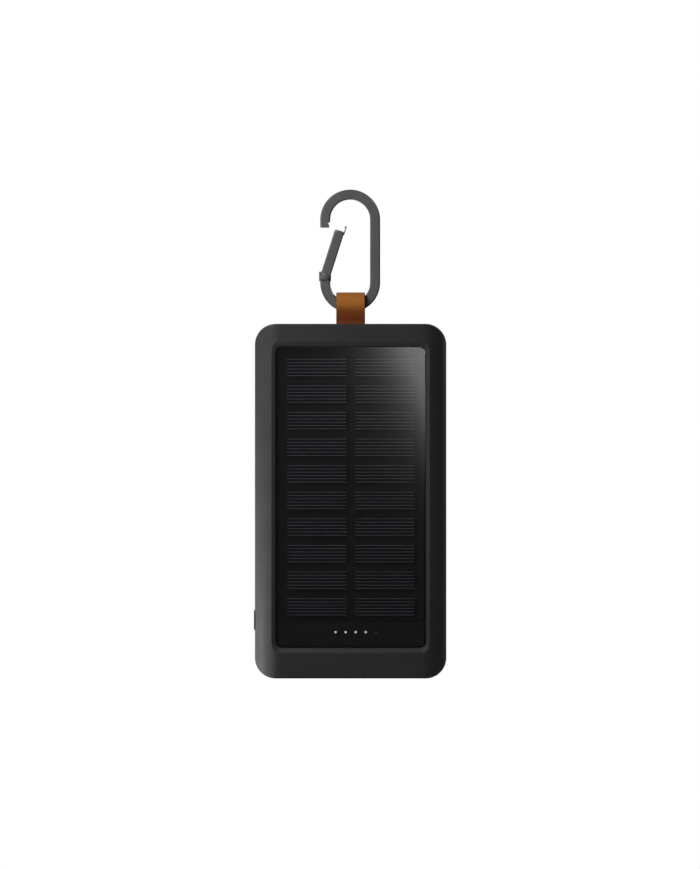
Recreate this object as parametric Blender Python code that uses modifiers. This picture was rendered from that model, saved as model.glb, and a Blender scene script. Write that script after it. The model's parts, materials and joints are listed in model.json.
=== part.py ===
"""Solar phone charger: a flat battery pack with a framed solar panel, a strap and a hinged carabiner.

The charger stands upright. +Z is up, the solar panel faces -Y, and the origin is the centre of the bottom
end, half-way through the thickness. All sizes are metres.
"""

from math import acos, atan2, cos, pi, radians, sin

import bmesh
import bpy
from mathutils import Matrix, Vector

MM = 0.001

# Gaps: round a fixed piece, and round a shaft that turns in a hole.
GAP = 0.3 * MM
RUNNING = 0.07 * MM

# Casing
BODY_W = 83.0 * MM
BODY_H = 153.8 * MM
BODY_T = 23.0 * MM
OUTLINE_R = 9.0 * MM
SIDE_R = 10.8 * MM
WALL = 2.2 * MM
PART_Y = 6.0 * MM
FRONT_WALL_IN = -5.8 * MM
CAVITY_FRONT_R = 2.0 * MM
CAVITY_REAR = BODY_T / 2 - WALL
OUTLINE_SLACK = 0.1 * MM
SEAL_HALF = 38.95 * MM
SEAL_INSET = WALL / 2
SEAL_CORNER_R = 7.6 * MM
SEAL_W = 0.7 * MM
SEAL_Y = (5.2 * MM, 6.4 * MM)
SEAL_GAP = 0.15 * MM

# Solar panel window, with its sloped rim
WINDOW_W = 65.4 * MM
WINDOW_Z = (13.2 * MM, 144.0 * MM)
WINDOW_R = 2.7 * MM
POCKET_FLOOR = -7.3 * MM
RIM_EDGE_Y = -10.45 * MM
RIM_SIDE_SLOPE = 0.27
RIM_END_SLOPE = 0.477
RIM_CUT = ((-10.3 * MM, 2.3 * MM), (-11.65 * MM, 5.6 * MM))
COVER_Y = (-10.3 * MM, -9.5 * MM)
CELL_Y = (-9.2 * MM, -8.9 * MM)
BACKSHEET_Y = (-8.6 * MM, -7.6 * MM)
BACKSHEET_HALF = 31.8 * MM
BACKSHEET_Z = (25.2 * MM, 143.2 * MM)

# Solar cells: two columns of ten
CELL_COLUMNS = 2
CELL_ROWS = 10
CELL_W = 26.5 * MM
CELL_H = 8.3 * MM
CELL_GAP = 3.0 * MM
CELL_PITCH = 11.53 * MM
TOP_ROW_Z = 134.87 * MM

# Charge indicator: four lamps and one status window at each end
LED_Z = 20.1 * MM
LED_PITCH = 4.36 * MM
LED_HOLE_R = 0.5 * MM
STATUS_SLOT = (2.4 * MM, 0.9 * MM)
MASK_Z = (14.0 * MM, 24.8 * MM)
MASK_Y = (-9.2 * MM, -8.8 * MM)
PIPE_R = 0.85 * MM
PIPE_TIP_Y = -8.5 * MM
GUIDE_BAR_Y = (-0.8 * MM, 1.8 * MM)
GUIDE_HALF = 12.6 * MM
GUIDE_HALF_Z = 1.3 * MM
LED_Y = (2.1 * MM, 2.9 * MM)
LED_HALF = (0.8 * MM, 0.5 * MM)

# Circuit board
BOARD_Y = (3.2 * MM, 4.4 * MM)
BOARD_Z = (3.8 * MM, 41.0 * MM)
BOARD_HALF = 36.0 * MM
BOARD_FOOT_HALF = 31.0 * MM
BOARD_STEP_Z = 10.8 * MM
INDUCTOR = (17.5 * MM, 30.5 * MM, 26.5 * MM, 39.5 * MM)
INDUCTOR_T = 5.0 * MM
CONTROLLER = (-24.0 * MM, 28.0 * MM, -18.0 * MM, 34.0 * MM)
CONTROLLER_T = 1.0 * MM

# Battery
BATTERY_W = 64.0 * MM
BATTERY_Y = (-5.5 * MM, 5.3 * MM)
BATTERY_Z = (43.0 * MM, 139.5 * MM)
FOAM_Y = (5.6 * MM, 9.0 * MM)
FOAM_HALF = 28.0 * MM
FOAM_Z = (50.0 * MM, 132.0 * MM)

# Leads: a place on the board and a place on the part they serve
PANEL_LEAD_R = 0.7 * MM
PANEL_LEAD_X = (20.0 * MM, 12.0 * MM)
PANEL_LEAD_Z = (29.0 * MM, 27.0 * MM)
PANEL_LEAD_HOLE_R = 1.4 * MM
PANEL_LEAD_BEND_Y = -2.5 * MM
CELL_LEAD_R = 0.6 * MM
CELL_LEAD_X = (5.0 * MM, 8.0 * MM)
CELL_LEAD_Z = (40.5 * MM, 36.0 * MM)
CELL_LEAD_BEND_Y = -2.0 * MM

# Ports in the bottom end, under one rubber cover
PORT_A_X = -9.5 * MM
PORT_C_X = 8.5 * MM
PORT_MOUTH_Z = 2.0 * MM
PORT_A = (13.2 * MM, 5.7 * MM, 14.0 * MM)
PORT_C = (8.94 * MM, 3.26 * MM, 9.0 * MM)
PORT_SKIN = 0.3 * MM
PORT_WALL_TOP = 3.4 * MM
PORT_BLOCK_HALF = 20.0 * MM
PORT_BLOCK_Y = (-6.5 * MM, 5.2 * MM)
PORT_BLOCK_Z = 1.5 * MM
COVER_HALF = 18.0 * MM
COVER_FRONT_Y = -4.4 * MM
COVER_Z = (0.25 * MM, 1.4 * MM)
COVER_AXIS = Vector((0, 4.1 * MM, 0.95 * MM))
COVER_BEAD_R = 0.65 * MM
COVER_POCKET_Z = 1.7 * MM
COVER_CORNER_R = (1.0 * MM, 1.0 * MM, 0.3 * MM, 0.3 * MM)
COVER_PLUG_Z = (1.0 * MM, 2.5 * MM)
COVER_PLUGS = ((PORT_A_X, 11.8 * MM, 4.2 * MM), (PORT_C_X, 7.4 * MM, 1.8 * MM))
THUMB_HALF = 4.0 * MM
THUMB_Y = (-6.4 * MM, -3.0 * MM)
THUMB_R = 1.2 * MM
THUMB_DEPTH = 1.1 * MM
COVER_POCKET_R = (1.2 * MM, 1.2 * MM, 0.3 * MM, 0.3 * MM)

# Power button in the left side
BUTTON_Z = 25.4 * MM
BUTTON_L = 8.9 * MM
BUTTON_W = 4.6 * MM
BUTTON_PROUD = 0.46 * MM
BUTTON_EDGE = 0.35 * MM
BUTTON_LIP = 0.8 * MM
BUTTON_FLANGE_X = (-38.6 * MM, -37.9 * MM)
PLUNGER_X = (-37.6 * MM, -35.9 * MM)
PLUNGER_R = 0.7 * MM
SWITCH_X = (-36.4 * MM, -33.0 * MM)
SWITCH_FRONT_Y = -1.6 * MM
SWITCH_HALF_Z = 3.0 * MM

# Casing screws
SCREW_X = 34.6 * MM
SCREW_Z = (7.0 * MM, 146.8 * MM)
SCREW_HEAD_R = 2.3 * MM
SCREW_HEAD_Y = (8.9 * MM, 10.3 * MM)
SCREW_SHANK_R = 1.0 * MM
SCREW_TIP_Y = -2.0 * MM
BOSS_R = 3.0 * MM
BOSS_Y = (-6.5 * MM, 5.5 * MM)
POST_Y = (6.5 * MM, 9.2 * MM)
SCREW_HOLE_Y = (-3.0 * MM, 8.0 * MM)
SCREW_SOCKET = (1.0 * MM, 0.8 * MM)
SCREW_SPOTS = [(side * SCREW_X, z) for z in SCREW_Z for side in (-1, 1)]

# Strap: it bends where it leaves the casing, and holds the carabiner in an eye
STRAP_W = 12.5 * MM
STRAP_T = 1.15 * MM
STRAP_HALF = 1.25 * MM
STRAP_NECK = 0.2
EYE_R = 4.0 * MM
EYE_UP = 8.5 * MM
ANCHOR_DOWN = 7.0 * MM
ANCHOR_R = 1.1 * MM
TAIL_EYE_R = ANCHOR_R + GAP
TAIL_TOP_DOWN = 1.6 * MM
SLOT_HALF_Y = 2.0 * MM
RIB_X = 8.5 * MM
RIB_T = 1.8 * MM
RIB_Y = (-6.5 * MM, 3.0 * MM)
RIB_DOWN = (11.0 * MM, 1.5 * MM)
ANCHOR_HALF = 11.0 * MM

# Carabiner: heights are above RING_BASE, so that the ring sits centred in the strap's eye
RING_BASE = BODY_H - 0.2 * MM
RING_X = -0.2 * MM
RING_OUT_R = 13.0 * MM
RING_IN_R = 8.62 * MM
RING_DEPTH = 3.8 * MM
RING_EDGE = 0.65 * MM
LOW_ARC_Z = 18.1 * MM
HIGH_ARC_Z = 45.4 * MM
NOSE_END_Z = 41.85 * MM
NOSE_RELIEF_X = -9.3 * MM
NOSE_RELIEF_TOP_Z = 44.4 * MM
NOTCH_X = -9.75 * MM
NOTCH_Z = (43.35 * MM, 43.95 * MM)
LUG_X = (-13.7 * MM, -8.5 * MM)
LUG_Z = (18.5 * MM, 22.85 * MM)
LUG_ROOT_X = (-12.7 * MM, -9.4 * MM)
LUG_ROOT_Z = 16.6 * MM
LUG_HALF_Y = 0.8 * MM
PIVOT = Vector((-11.0 * MM, 0, RING_BASE + 20.95 * MM))
SEAT_R = 2.45 * MM
SEAT_TOP_Z = 20.3 * MM
GATE_HALF = 2.165 * MM
GATE_LENGTH = 20.65 * MM
GATE_EDGE = 0.5 * MM
GATE_OPEN = radians(17.7)
FORK_HALF_Y = 1.1 * MM
FORK_TOP = 3.5 * MM
PIN_R = 0.8 * MM
PIN_HEAD_R = 1.35 * MM
PIN_HEAD_T = 0.35 * MM
FIN_X = (1.95 * MM, 2.45 * MM)
FIN_TOP = 23.35 * MM
FIN_HALF_Y = 1.2 * MM
BARB_X = 1.4 * MM
BARB_Z = (22.5 * MM, 22.85 * MM)
BARB_RISE = 0.1 * MM
SPRING_X = 1.6 * MM
SPRING_COIL_R = 0.36 * MM
SPRING_WIRE_R = 0.12 * MM
SPRING_Z = (-4.6 * MM, 2.9 * MM)
SPRING_TURNS = 9
SPRING_BORE_R = 0.56 * MM

ARC_STEPS = 8

for leftover in list(bpy.data.objects):
    bpy.data.objects.remove(leftover, do_unlink=True)

PARTS = bpy.data.collections.new("solar_phone_charger")
CUTTERS = bpy.data.collections.new("cutters")
bpy.context.scene.collection.children.link(PARTS)
bpy.context.scene.collection.children.link(CUTTERS)


def material(name, colour, roughness, metallic=0.0):
    made = bpy.data.materials.new(name)
    made.use_nodes = True
    shader = made.node_tree.nodes["Principled BSDF"]
    shader.inputs["Base Color"].default_value = (*colour, 1.0)
    shader.inputs["Roughness"].default_value = roughness
    shader.inputs["Metallic"].default_value = metallic
    return made


CASING = material("casing_plastic", (0.030, 0.030, 0.031), 0.55)
BUTTON_PLASTIC = material("button_plastic", (0.018, 0.018, 0.019), 0.5)
RUBBER = material("rubber", (0.020, 0.020, 0.021), 0.8)
CLEAR = material("clear_cover", (0.012, 0.012, 0.013), 0.08)
SILICON = material("solar_silicon", (0.010, 0.010, 0.016), 0.3)
BACKSHEET = material("panel_backsheet", (0.008, 0.008, 0.009), 0.5)
LIGHT_PIPE = material("light_pipe", (0.85, 0.87, 0.9), 0.2)
LAMP = material("led", (0.95, 0.95, 0.9), 0.3)
BOARD_GREEN = material("circuit_board", (0.02, 0.10, 0.05), 0.45)
CHIP = material("chip_epoxy", (0.02, 0.02, 0.02), 0.5)
FERRITE = material("ferrite", (0.06, 0.06, 0.065), 0.6)
POUCH = material("battery_pouch", (0.55, 0.56, 0.58), 0.35, 0.8)
FOAM = material("foam", (0.04, 0.04, 0.045), 0.95)
STEEL = material("steel", (0.55, 0.55, 0.56), 0.3, 1.0)
GUNMETAL = material("gunmetal", (0.09, 0.09, 0.095), 0.4, 0.9)
LEATHER = material("strap_leather", (0.30, 0.11, 0.03), 0.6)
RED_WIRE = material("red_wire", (0.5, 0.02, 0.02), 0.5)
BLACK_WIRE = material("black_wire", (0.02, 0.02, 0.02), 0.5)


def place(name, mesh, surface):
    """Puts a mesh in the scene: a part if it has a surface, otherwise a hidden cutter."""
    obj = bpy.data.objects.new(name, mesh)
    if surface:
        mesh.materials.clear()
        mesh.materials.append(surface)
        PARTS.objects.link(obj)
    else:
        obj.hide_render = True
        obj.display_type = "WIRE"
        CUTTERS.objects.link(obj)
    return obj


def from_bmesh(name, bm, surface):
    bmesh.ops.recalc_face_normals(bm, faces=bm.faces)
    mesh = bpy.data.meshes.new(name)
    bm.to_mesh(mesh)
    bm.free()
    return place(name, mesh, surface)


def box(name, low, high, surface=None):
    low, high = Vector(low), Vector(high)
    bm = bmesh.new()
    bmesh.ops.create_cube(bm, size=1)
    bmesh.ops.scale(bm, vec=high - low, verts=bm.verts)
    bmesh.ops.translate(bm, vec=(low + high) / 2, verts=bm.verts)
    return from_bmesh(name, bm, surface)


def rod(name, radius, start, end, surface=None, sides=24):
    """A cylinder from start to end."""
    start, end = Vector(start), Vector(end)
    turn = (end - start).to_track_quat("Z", "Y").to_matrix().to_4x4()
    bm = bmesh.new()
    bmesh.ops.create_cone(
        bm,
        cap_ends=True,
        segments=sides,
        radius1=radius,
        radius2=radius,
        depth=(end - start).length,
        matrix=Matrix.Translation((start + end) / 2) @ turn,
    )
    return from_bmesh(name, bm, surface)


def arc(centre, radius, start, end, steps=ARC_STEPS):
    """Points on a circle from one angle to another, both included."""
    angles = [start + (end - start) * i / steps for i in range(steps + 1)]
    return [(centre[0] + radius * cos(a), centre[1] + radius * sin(a)) for a in angles]


def rounded_rectangle(low, high, radii, steps=ARC_STEPS):
    """An outline whose corners have their own radii, from the low-low corner anticlockwise."""
    r = radii if isinstance(radii, tuple) else (radii,) * 4
    centres = (
        (low[0] + r[0], low[1] + r[0]),
        (high[0] - r[1], low[1] + r[1]),
        (high[0] - r[2], high[1] - r[2]),
        (low[0] + r[3], high[1] - r[3]),
    )
    points = []
    for i, centre in enumerate(centres):
        points += arc(centre, r[i], pi + i * pi / 2, pi * 1.5 + i * pi / 2, steps)
    return points


def disc(centre, radius, steps=24):
    return arc(centre, radius, 0, 2 * pi * (1 - 1 / steps), steps - 1)


def stadium(centre, length, width, steps=ARC_STEPS):
    """A slot outline whose long side runs along the second axis."""
    low = (centre[0] - width / 2, centre[1] - length / 2)
    high = (centre[0] + width / 2, centre[1] + length / 2)
    return rounded_rectangle(low, high, width / 2 - 0.001 * MM, steps)


# How an outline's own axes and its depth lie in the charger's frame.
OUTLINE_FRAMES = {
    "X": Matrix(((0, 0, 1), (1, 0, 0), (0, 1, 0))),
    "Y": Matrix(((1, 0, 0), (0, 0, -1), (0, 1, 0))),
    "Z": Matrix.Identity(3),
}


def prism(name, outlines, axis, low, high, surface=None):
    """A flat outline, with any holes in it, given depth from low to high along an axis."""
    flat = bpy.data.curves.new(name, "CURVE")
    flat.dimensions = "2D"
    flat.fill_mode = "BOTH"
    flat.extrude = (high - low) / 2
    for points in outlines:
        spline = flat.splines.new("POLY")
        spline.points.add(len(points) - 1)
        for point, (u, v) in zip(spline.points, points):
            point.co = (u, v, 0, 1)
        spline.use_cyclic_u = True
    middle = Vector([(low + high) / 2 if letter == axis else 0 for letter in "XYZ"])
    matrix = Matrix.Translation(middle) @ OUTLINE_FRAMES[axis].to_4x4()
    guide = bpy.data.objects.new(name + "_outline", flat)
    CUTTERS.objects.link(guide)
    mesh = as_mesh(guide, name, whole_caps=len(outlines) == 1)
    mesh.transform(matrix)
    return place(name, mesh, surface)


def as_mesh(guide, name, whole_caps=False):
    """The welded mesh of a curve object, which is then removed.

    A cap left as one face can take a bevel wider than its triangles.
    """
    graph = bpy.context.evaluated_depsgraph_get()
    mesh = bpy.data.meshes.new_from_object(guide.evaluated_get(graph))
    mesh.name = name
    bm = bmesh.new()
    bm.from_mesh(mesh)
    bmesh.ops.remove_doubles(bm, verts=bm.verts, dist=0.002 * MM)
    if whole_caps:
        bmesh.ops.dissolve_limit(
            bm, angle_limit=radians(0.5), verts=bm.verts, edges=bm.edges
        )
    bmesh.ops.recalc_face_normals(bm, faces=bm.faces)
    bm.to_mesh(mesh)
    bm.free()
    bpy.data.objects.remove(guide, do_unlink=True)
    return mesh


def wire(name, radius, points, surface):
    """A round wire along a row of points."""
    path = bpy.data.curves.new(name, "CURVE")
    path.dimensions = "3D"
    path.bevel_depth = radius
    path.bevel_resolution = 2
    path.use_fill_caps = True
    spline = path.splines.new("POLY")
    spline.points.add(len(points) - 1)
    for point, where in zip(spline.points, points):
        point.co = (*where, 1)
    guide = bpy.data.objects.new(name + "_path", path)
    CUTTERS.objects.link(guide)
    return place(name, as_mesh(guide, name), surface)


def bend(points, steps=4):
    """Rounds off a row of corner points: each inner corner becomes a short curve."""
    corners = [Vector(p) for p in points]
    out = [corners[0]]
    for before, corner, after in zip(corners, corners[1:], corners[2:]):
        reach = min((corner - before).length, (after - corner).length) * 0.4
        start = corner + (before - corner).normalized() * reach
        end = corner + (after - corner).normalized() * reach
        for i in range(steps + 1):
            t = i / steps
            out.append(start * (1 - t) ** 2 + corner * 2 * t * (1 - t) + end * t**2)
    return out + [corners[-1]]


def combine(obj, other, operation):
    step = obj.modifiers.new(other.name, "BOOLEAN")
    step.operation = operation
    step.solver = "EXACT"
    step.object = other
    return obj


def cut(obj, *others):
    for other in others:
        combine(obj, other, "DIFFERENCE")


def join(obj, *others):
    for other in others:
        combine(obj, other, "UNION")


def bevel(obj, width, segments=1, angle=50):
    step = obj.modifiers.new("edges", "BEVEL")
    step.width = width
    step.segments = segments
    step.limit_method = "ANGLE"
    step.angle_limit = radians(angle)


def weld(obj):
    """Closes the hairline slivers that a long row of cuts leaves."""
    step = obj.modifiers.new("slivers", "WELD")
    step.merge_threshold = 0.05 * MM


def smooth(*objects):
    for obj in objects:
        obj.data.shade_smooth()
        obj.data.set_sharp_from_angle(angle=radians(35))


def pivot_at(name, point, parent=None):
    """An empty on a joint's axis."""
    empty = bpy.data.objects.new(name, None)
    empty.empty_display_size = 5 * MM
    PARTS.objects.link(empty)
    empty.parent = parent
    empty.location = Vector(point) - (offset_of(parent) if parent else Vector())
    return empty


def offset_of(obj):
    """Where an unrotated chain of parents puts an object's origin."""
    return obj.location + (offset_of(obj.parent) if obj.parent else Vector())


def hang(empty, *objects):
    """Parents pieces to a joint's empty and moves their origins onto the joint."""
    point = offset_of(empty)
    for obj in objects:
        obj.data.transform(Matrix.Translation(-point))
        obj.parent = empty
        obj.location = (0, 0, 0)


# Shared casing shapes

def body_section(name, surface):
    """The round-sided section, run past both ends."""
    low = (-BODY_W / 2, -BODY_T / 2)
    high = (BODY_W / 2, BODY_T / 2)
    outline = rounded_rectangle(low, high, SIDE_R, 10)
    return prism(name, [outline], "Z", -WALL, BODY_H + WALL, surface)


def body_outline(name, low_y, high_y):
    """The front outline with its round corners, a hair wider than the section."""
    half = BODY_W / 2 + OUTLINE_SLACK
    outline = rounded_rectangle((-half, 0), (half, BODY_H), OUTLINE_R)
    return prism(name, [outline], "Y", low_y, high_y)


def casing_cavity():
    """The hollow that both halves share."""
    half = BODY_W / 2 - WALL
    rear_r = SIDE_R - WALL
    radii = (CAVITY_FRONT_R, CAVITY_FRONT_R, rear_r, rear_r)
    section = rounded_rectangle((-half, FRONT_WALL_IN), (half, CAVITY_REAR), radii, 10)
    hollow = prism("cavity", [section], "Z", -WALL, BODY_H + WALL)
    half += OUTLINE_SLACK
    ends = rounded_rectangle((-half, WALL), (half, BODY_H - WALL), OUTLINE_R - WALL)
    limit = prism("cavity_ends", [ends], "Y", -BODY_T, BODY_T)
    return combine(hollow, limit, "INTERSECT")


def seal_loop(inset, width):
    """The seal's outline pair: a rounded frame of some width, set in from the casing's ends."""
    half = SEAL_HALF
    loops = []
    for side in (width / 2, -width / 2):
        low = (-half - side, inset - side)
        high = (half + side, BODY_H - inset + side)
        loops.append(rounded_rectangle(low, high, SEAL_CORNER_R + side))
    return loops


cavity = casing_cavity()
seal_groove = prism(
    "seal_groove",
    seal_loop(SEAL_INSET, SEAL_W + 2 * SEAL_GAP),
    "Y",
    SEAL_Y[0] - SEAL_GAP,
    SEAL_Y[1] + SEAL_GAP,
)


def window_outline(grow=0.0):
    """The panel window, or a smaller or larger outline parallel to it."""
    half = WINDOW_W / 2 + grow
    low = (-half, WINDOW_Z[0] - grow)
    high = (half, WINDOW_Z[1] + grow)
    return rounded_rectangle(low, high, WINDOW_R + grow)


def rim_cutter():
    """The sloped rim round the window: a loft that is steeper at the ends than at the sides."""
    bm = bmesh.new()
    rings = []
    for y, radius in RIM_CUT:
        rise = RIM_EDGE_Y - y
        side, end = rise / RIM_SIDE_SLOPE, rise / RIM_END_SLOPE
        low = (-WINDOW_W / 2 - side, WINDOW_Z[0] - end)
        high = (WINDOW_W / 2 + side, WINDOW_Z[1] + end)
        outline = rounded_rectangle(low, high, radius)
        rings.append([bm.verts.new((x, y, z)) for x, z in outline])
    bm.faces.new(rings[0])
    bm.faces.new(list(reversed(rings[1])))
    count = len(rings[0])
    for i in range(count):
        j = (i + 1) % count
        bm.faces.new((rings[0][i], rings[1][i], rings[1][j], rings[0][j]))
    return from_bmesh("window_rim", bm, None)


def port_opening(name, centre_x, size, round_ends):
    """A hole in the bottom wall round one connector."""
    grow = 2 * GAP
    half_x, half_y = (size[0] + grow) / 2, (size[1] + grow) / 2
    corner = half_y - 0.01 * MM if round_ends else 0.6 * MM
    low, high = (centre_x - half_x, -half_y), (centre_x + half_x, half_y)
    return prism(name, [rounded_rectangle(low, high, corner)], "Z", -WALL, 2 * WALL)


def make_front_casing():
    front = body_section("front_casing", CASING)
    outline = body_outline("front_outline", -BODY_T, PART_Y - GAP / 2)
    combine(front, outline, "INTERSECT")
    cut(front, seal_groove, cavity)

    for i, (x, z) in enumerate(SCREW_SPOTS):
        join(front, rod(f"boss_{i}", BOSS_R, (x, BOSS_Y[0], z), (x, BOSS_Y[1], z)))
    port_block = box(
        "port_block",
        (-PORT_BLOCK_HALF, PORT_BLOCK_Y[0], PORT_BLOCK_Z),
        (PORT_BLOCK_HALF, PORT_BLOCK_Y[1], PORT_WALL_TOP),
    )
    join(front, port_block)
    anchor_hole = disc((0, BODY_H - ANCHOR_DOWN), ANCHOR_R + GAP)
    rib_outline = rounded_rectangle(
        (RIB_Y[0], BODY_H - RIB_DOWN[0]), (RIB_Y[1], BODY_H - RIB_DOWN[1]), 0.5 * MM, 2
    )
    for side in (-1, 1):
        low, high = side * RIB_X - RIB_T / 2, side * RIB_X + RIB_T / 2
        rib = prism(f"anchor_rib_{side}", [rib_outline, anchor_hole], "X", low, high)
        join(front, rib)

    pocket = prism("window_pocket", [window_outline()], "Y", -BODY_T, POCKET_FLOOR)
    slot_half_x = STRAP_W / 2 + 0.4 * MM
    slot = rounded_rectangle(
        (-slot_half_x, -SLOT_HALF_Y), (slot_half_x, SLOT_HALF_Y), 0.8 * MM, 4
    )
    strap_slot = prism("strap_slot", [slot], "Z", BODY_H - 4 * MM, BODY_H + 4 * MM)
    cut(front, pocket, rim_cutter(), strap_slot)

    button_hole = prism(
        "button_hole",
        [stadium((0, BUTTON_Z), BUTTON_L + 2 * GAP, BUTTON_W + 2 * GAP)],
        "X",
        -BODY_W / 2 - WALL,
        -BODY_W / 2 + 2 * WALL,
    )
    cut(front, button_hole)
    for i, (x, z) in enumerate(SCREW_SPOTS):
        low, high = (x, SCREW_HOLE_Y[0], z), (x, SCREW_HOLE_Y[1], z)
        hole = rod(f"screw_hole_{i}", SCREW_SHANK_R + GAP, low, high)
        cut(front, hole)
    for i in range(6):
        x = (i - 2.5) * LED_PITCH
        low, high = (x, POCKET_FLOOR - 1 * MM, LED_Z), (x, FRONT_WALL_IN + 1 * MM, LED_Z)
        hole = rod(f"pipe_hole_{i}", PIPE_R + GAP, low, high, sides=16)
        cut(front, hole)
    lead_hole = rod(
        "lead_hole",
        PANEL_LEAD_HOLE_R,
        (PANEL_LEAD_X[0], POCKET_FLOOR - 1.7 * MM, PANEL_LEAD_Z[0]),
        (PANEL_LEAD_X[0], FRONT_WALL_IN + 1.8 * MM, PANEL_LEAD_Z[0]),
    )
    cut(front, lead_hole)

    pocket_low = (-COVER_HALF - GAP, COVER_FRONT_Y - GAP)
    pocket_high = (COVER_HALF + GAP, COVER_AXIS.y + COVER_BEAD_R + GAP)
    cover_pocket = prism(
        "cover_pocket",
        [rounded_rectangle(pocket_low, pocket_high, COVER_POCKET_R, 4)],
        "Z",
        -WALL,
        COVER_POCKET_Z,
    )
    thumb_notch = prism(
        "thumb_notch",
        [rounded_rectangle((-THUMB_HALF, THUMB_Y[0]), (THUMB_HALF, THUMB_Y[1]), THUMB_R, 4)],
        "Z",
        -WALL,
        THUMB_DEPTH,
    )
    port_a = port_opening("port_a_opening", PORT_A_X, PORT_A, False)
    port_c = port_opening("port_c_opening", PORT_C_X, PORT_C, True)
    cut(front, cover_pocket, thumb_notch, port_a, port_c)
    weld(front)


def make_rear_casing():
    rear = body_section("rear_casing", CASING)
    outline = body_outline("rear_outline", PART_Y + GAP / 2, BODY_T)
    combine(rear, outline, "INTERSECT")
    cut(rear, cavity)
    for i, (x, z) in enumerate(SCREW_SPOTS):
        join(rear, rod(f"post_{i}", BOSS_R, (x, POST_Y[0], z), (x, POST_Y[1], z)))
    cut(rear, seal_groove)
    for i, (x, z) in enumerate(SCREW_SPOTS):
        seat_y = SCREW_HEAD_Y[0] - GAP
        head = rod(f"head_bore_{i}", SCREW_HEAD_R + GAP, (x, seat_y, z), (x, BODY_T, z))
        shank = rod(
            f"shank_bore_{i}", SCREW_SHANK_R + GAP, (x, PART_Y - 1 * MM, z), (x, seat_y + 1 * MM, z)
        )
        cut(rear, head, shank)
    weld(rear)


def make_screw(index, x, z):
    screw = rod(
        f"casing_screw_{index}",
        SCREW_HEAD_R,
        (x, SCREW_HEAD_Y[0], z),
        (x, SCREW_HEAD_Y[1], z),
        STEEL,
    )
    shank = rod(
        f"shank_{index}",
        SCREW_SHANK_R,
        (x, SCREW_TIP_Y, z),
        (x, SCREW_HEAD_Y[0] + 0.5 * MM, z),
        sides=16,
    )
    socket = rod(
        f"socket_{index}",
        SCREW_SOCKET[0],
        (x, SCREW_HEAD_Y[1] - SCREW_SOCKET[1], z),
        (x, SCREW_HEAD_Y[1] + 1 * MM, z),
        sides=6,
    )
    join(screw, shank)
    cut(screw, socket)
    smooth(screw)


def make_panel():
    prism("panel_cover", [window_outline(-GAP)], "Y", *COVER_Y, CLEAR)
    sheet_low = (-BACKSHEET_HALF, BACKSHEET_Z[0])
    sheet_high = (BACKSHEET_HALF, BACKSHEET_Z[1])
    sheet = rounded_rectangle(sheet_low, sheet_high, 1.5 * MM, 4)
    prism("panel_backsheet", [sheet], "Y", *BACKSHEET_Y, BACKSHEET)
    for row in range(CELL_ROWS):
        z = TOP_ROW_Z - row * CELL_PITCH
        for column in range(CELL_COLUMNS):
            x = (column - 0.5) * (CELL_W + CELL_GAP)
            number = row * CELL_COLUMNS + column + 1
            box(
                f"solar_cell_{number:02d}",
                (x - CELL_W / 2, CELL_Y[0], z - CELL_H / 2),
                (x + CELL_W / 2, CELL_Y[1], z + CELL_H / 2),
                SILICON,
            )


def make_indicator():
    spots = [((i - 2.5) * LED_PITCH, LED_Z) for i in range(6)]
    mask_low, mask_high = (-BACKSHEET_HALF, MASK_Z[0]), (BACKSHEET_HALF, MASK_Z[1])
    half_l, half_w = STATUS_SLOT[0] / 2, STATUS_SLOT[1] / 2
    x, z = spots[5]
    status = rounded_rectangle(
        (x - half_l, z - half_w), (x + half_l, z + half_w), half_w - 0.01 * MM, 4
    )
    holes = [disc(spot, LED_HOLE_R, 16) for spot in spots[:5]] + [status]
    mask = [rounded_rectangle(mask_low, mask_high, 1.5 * MM, 4)] + holes
    prism("led_mask", mask, "Y", *MASK_Y, BACKSHEET)

    guide = box(
        "light_guide",
        (-GUIDE_HALF, GUIDE_BAR_Y[0], LED_Z - GUIDE_HALF_Z),
        (GUIDE_HALF, GUIDE_BAR_Y[1], LED_Z + GUIDE_HALF_Z),
        LIGHT_PIPE,
    )
    for i, (x, z) in enumerate(spots):
        pipe_end = GUIDE_BAR_Y[0] + 0.6 * MM
        pipe = rod(f"pipe_{i}", PIPE_R, (x, PIPE_TIP_Y, z), (x, pipe_end, z), sides=16)
        join(guide, pipe)
        box(
            f"led_{i + 1}",
            (x - LED_HALF[0], LED_Y[0], z - LED_HALF[1]),
            (x + LED_HALF[0], LED_Y[1], z + LED_HALF[1]),
            LAMP,
        )


def make_board():
    foot, half, step = BOARD_FOOT_HALF, BOARD_HALF, BOARD_STEP_Z
    outline = [
        (-foot, BOARD_Z[0]),
        (foot, BOARD_Z[0]),
        (foot, step),
        (half, step),
        (half, BOARD_Z[1]),
        (-half, BOARD_Z[1]),
        (-half, step),
        (-foot, step),
    ]
    prism("main_board", [outline], "Y", *BOARD_Y, BOARD_GREEN)
    seat = BOARD_Y[0] - GAP
    coil = box(
        "inductor",
        (INDUCTOR[0], seat - INDUCTOR_T, INDUCTOR[1]),
        (INDUCTOR[2], seat, INDUCTOR[3]),
        FERRITE,
    )
    bevel(coil, 0.8 * MM, 2)
    box(
        "charge_controller",
        (CONTROLLER[0], seat - CONTROLLER_T, CONTROLLER[1]),
        (CONTROLLER[2], seat, CONTROLLER[3]),
        CHIP,
    )


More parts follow.
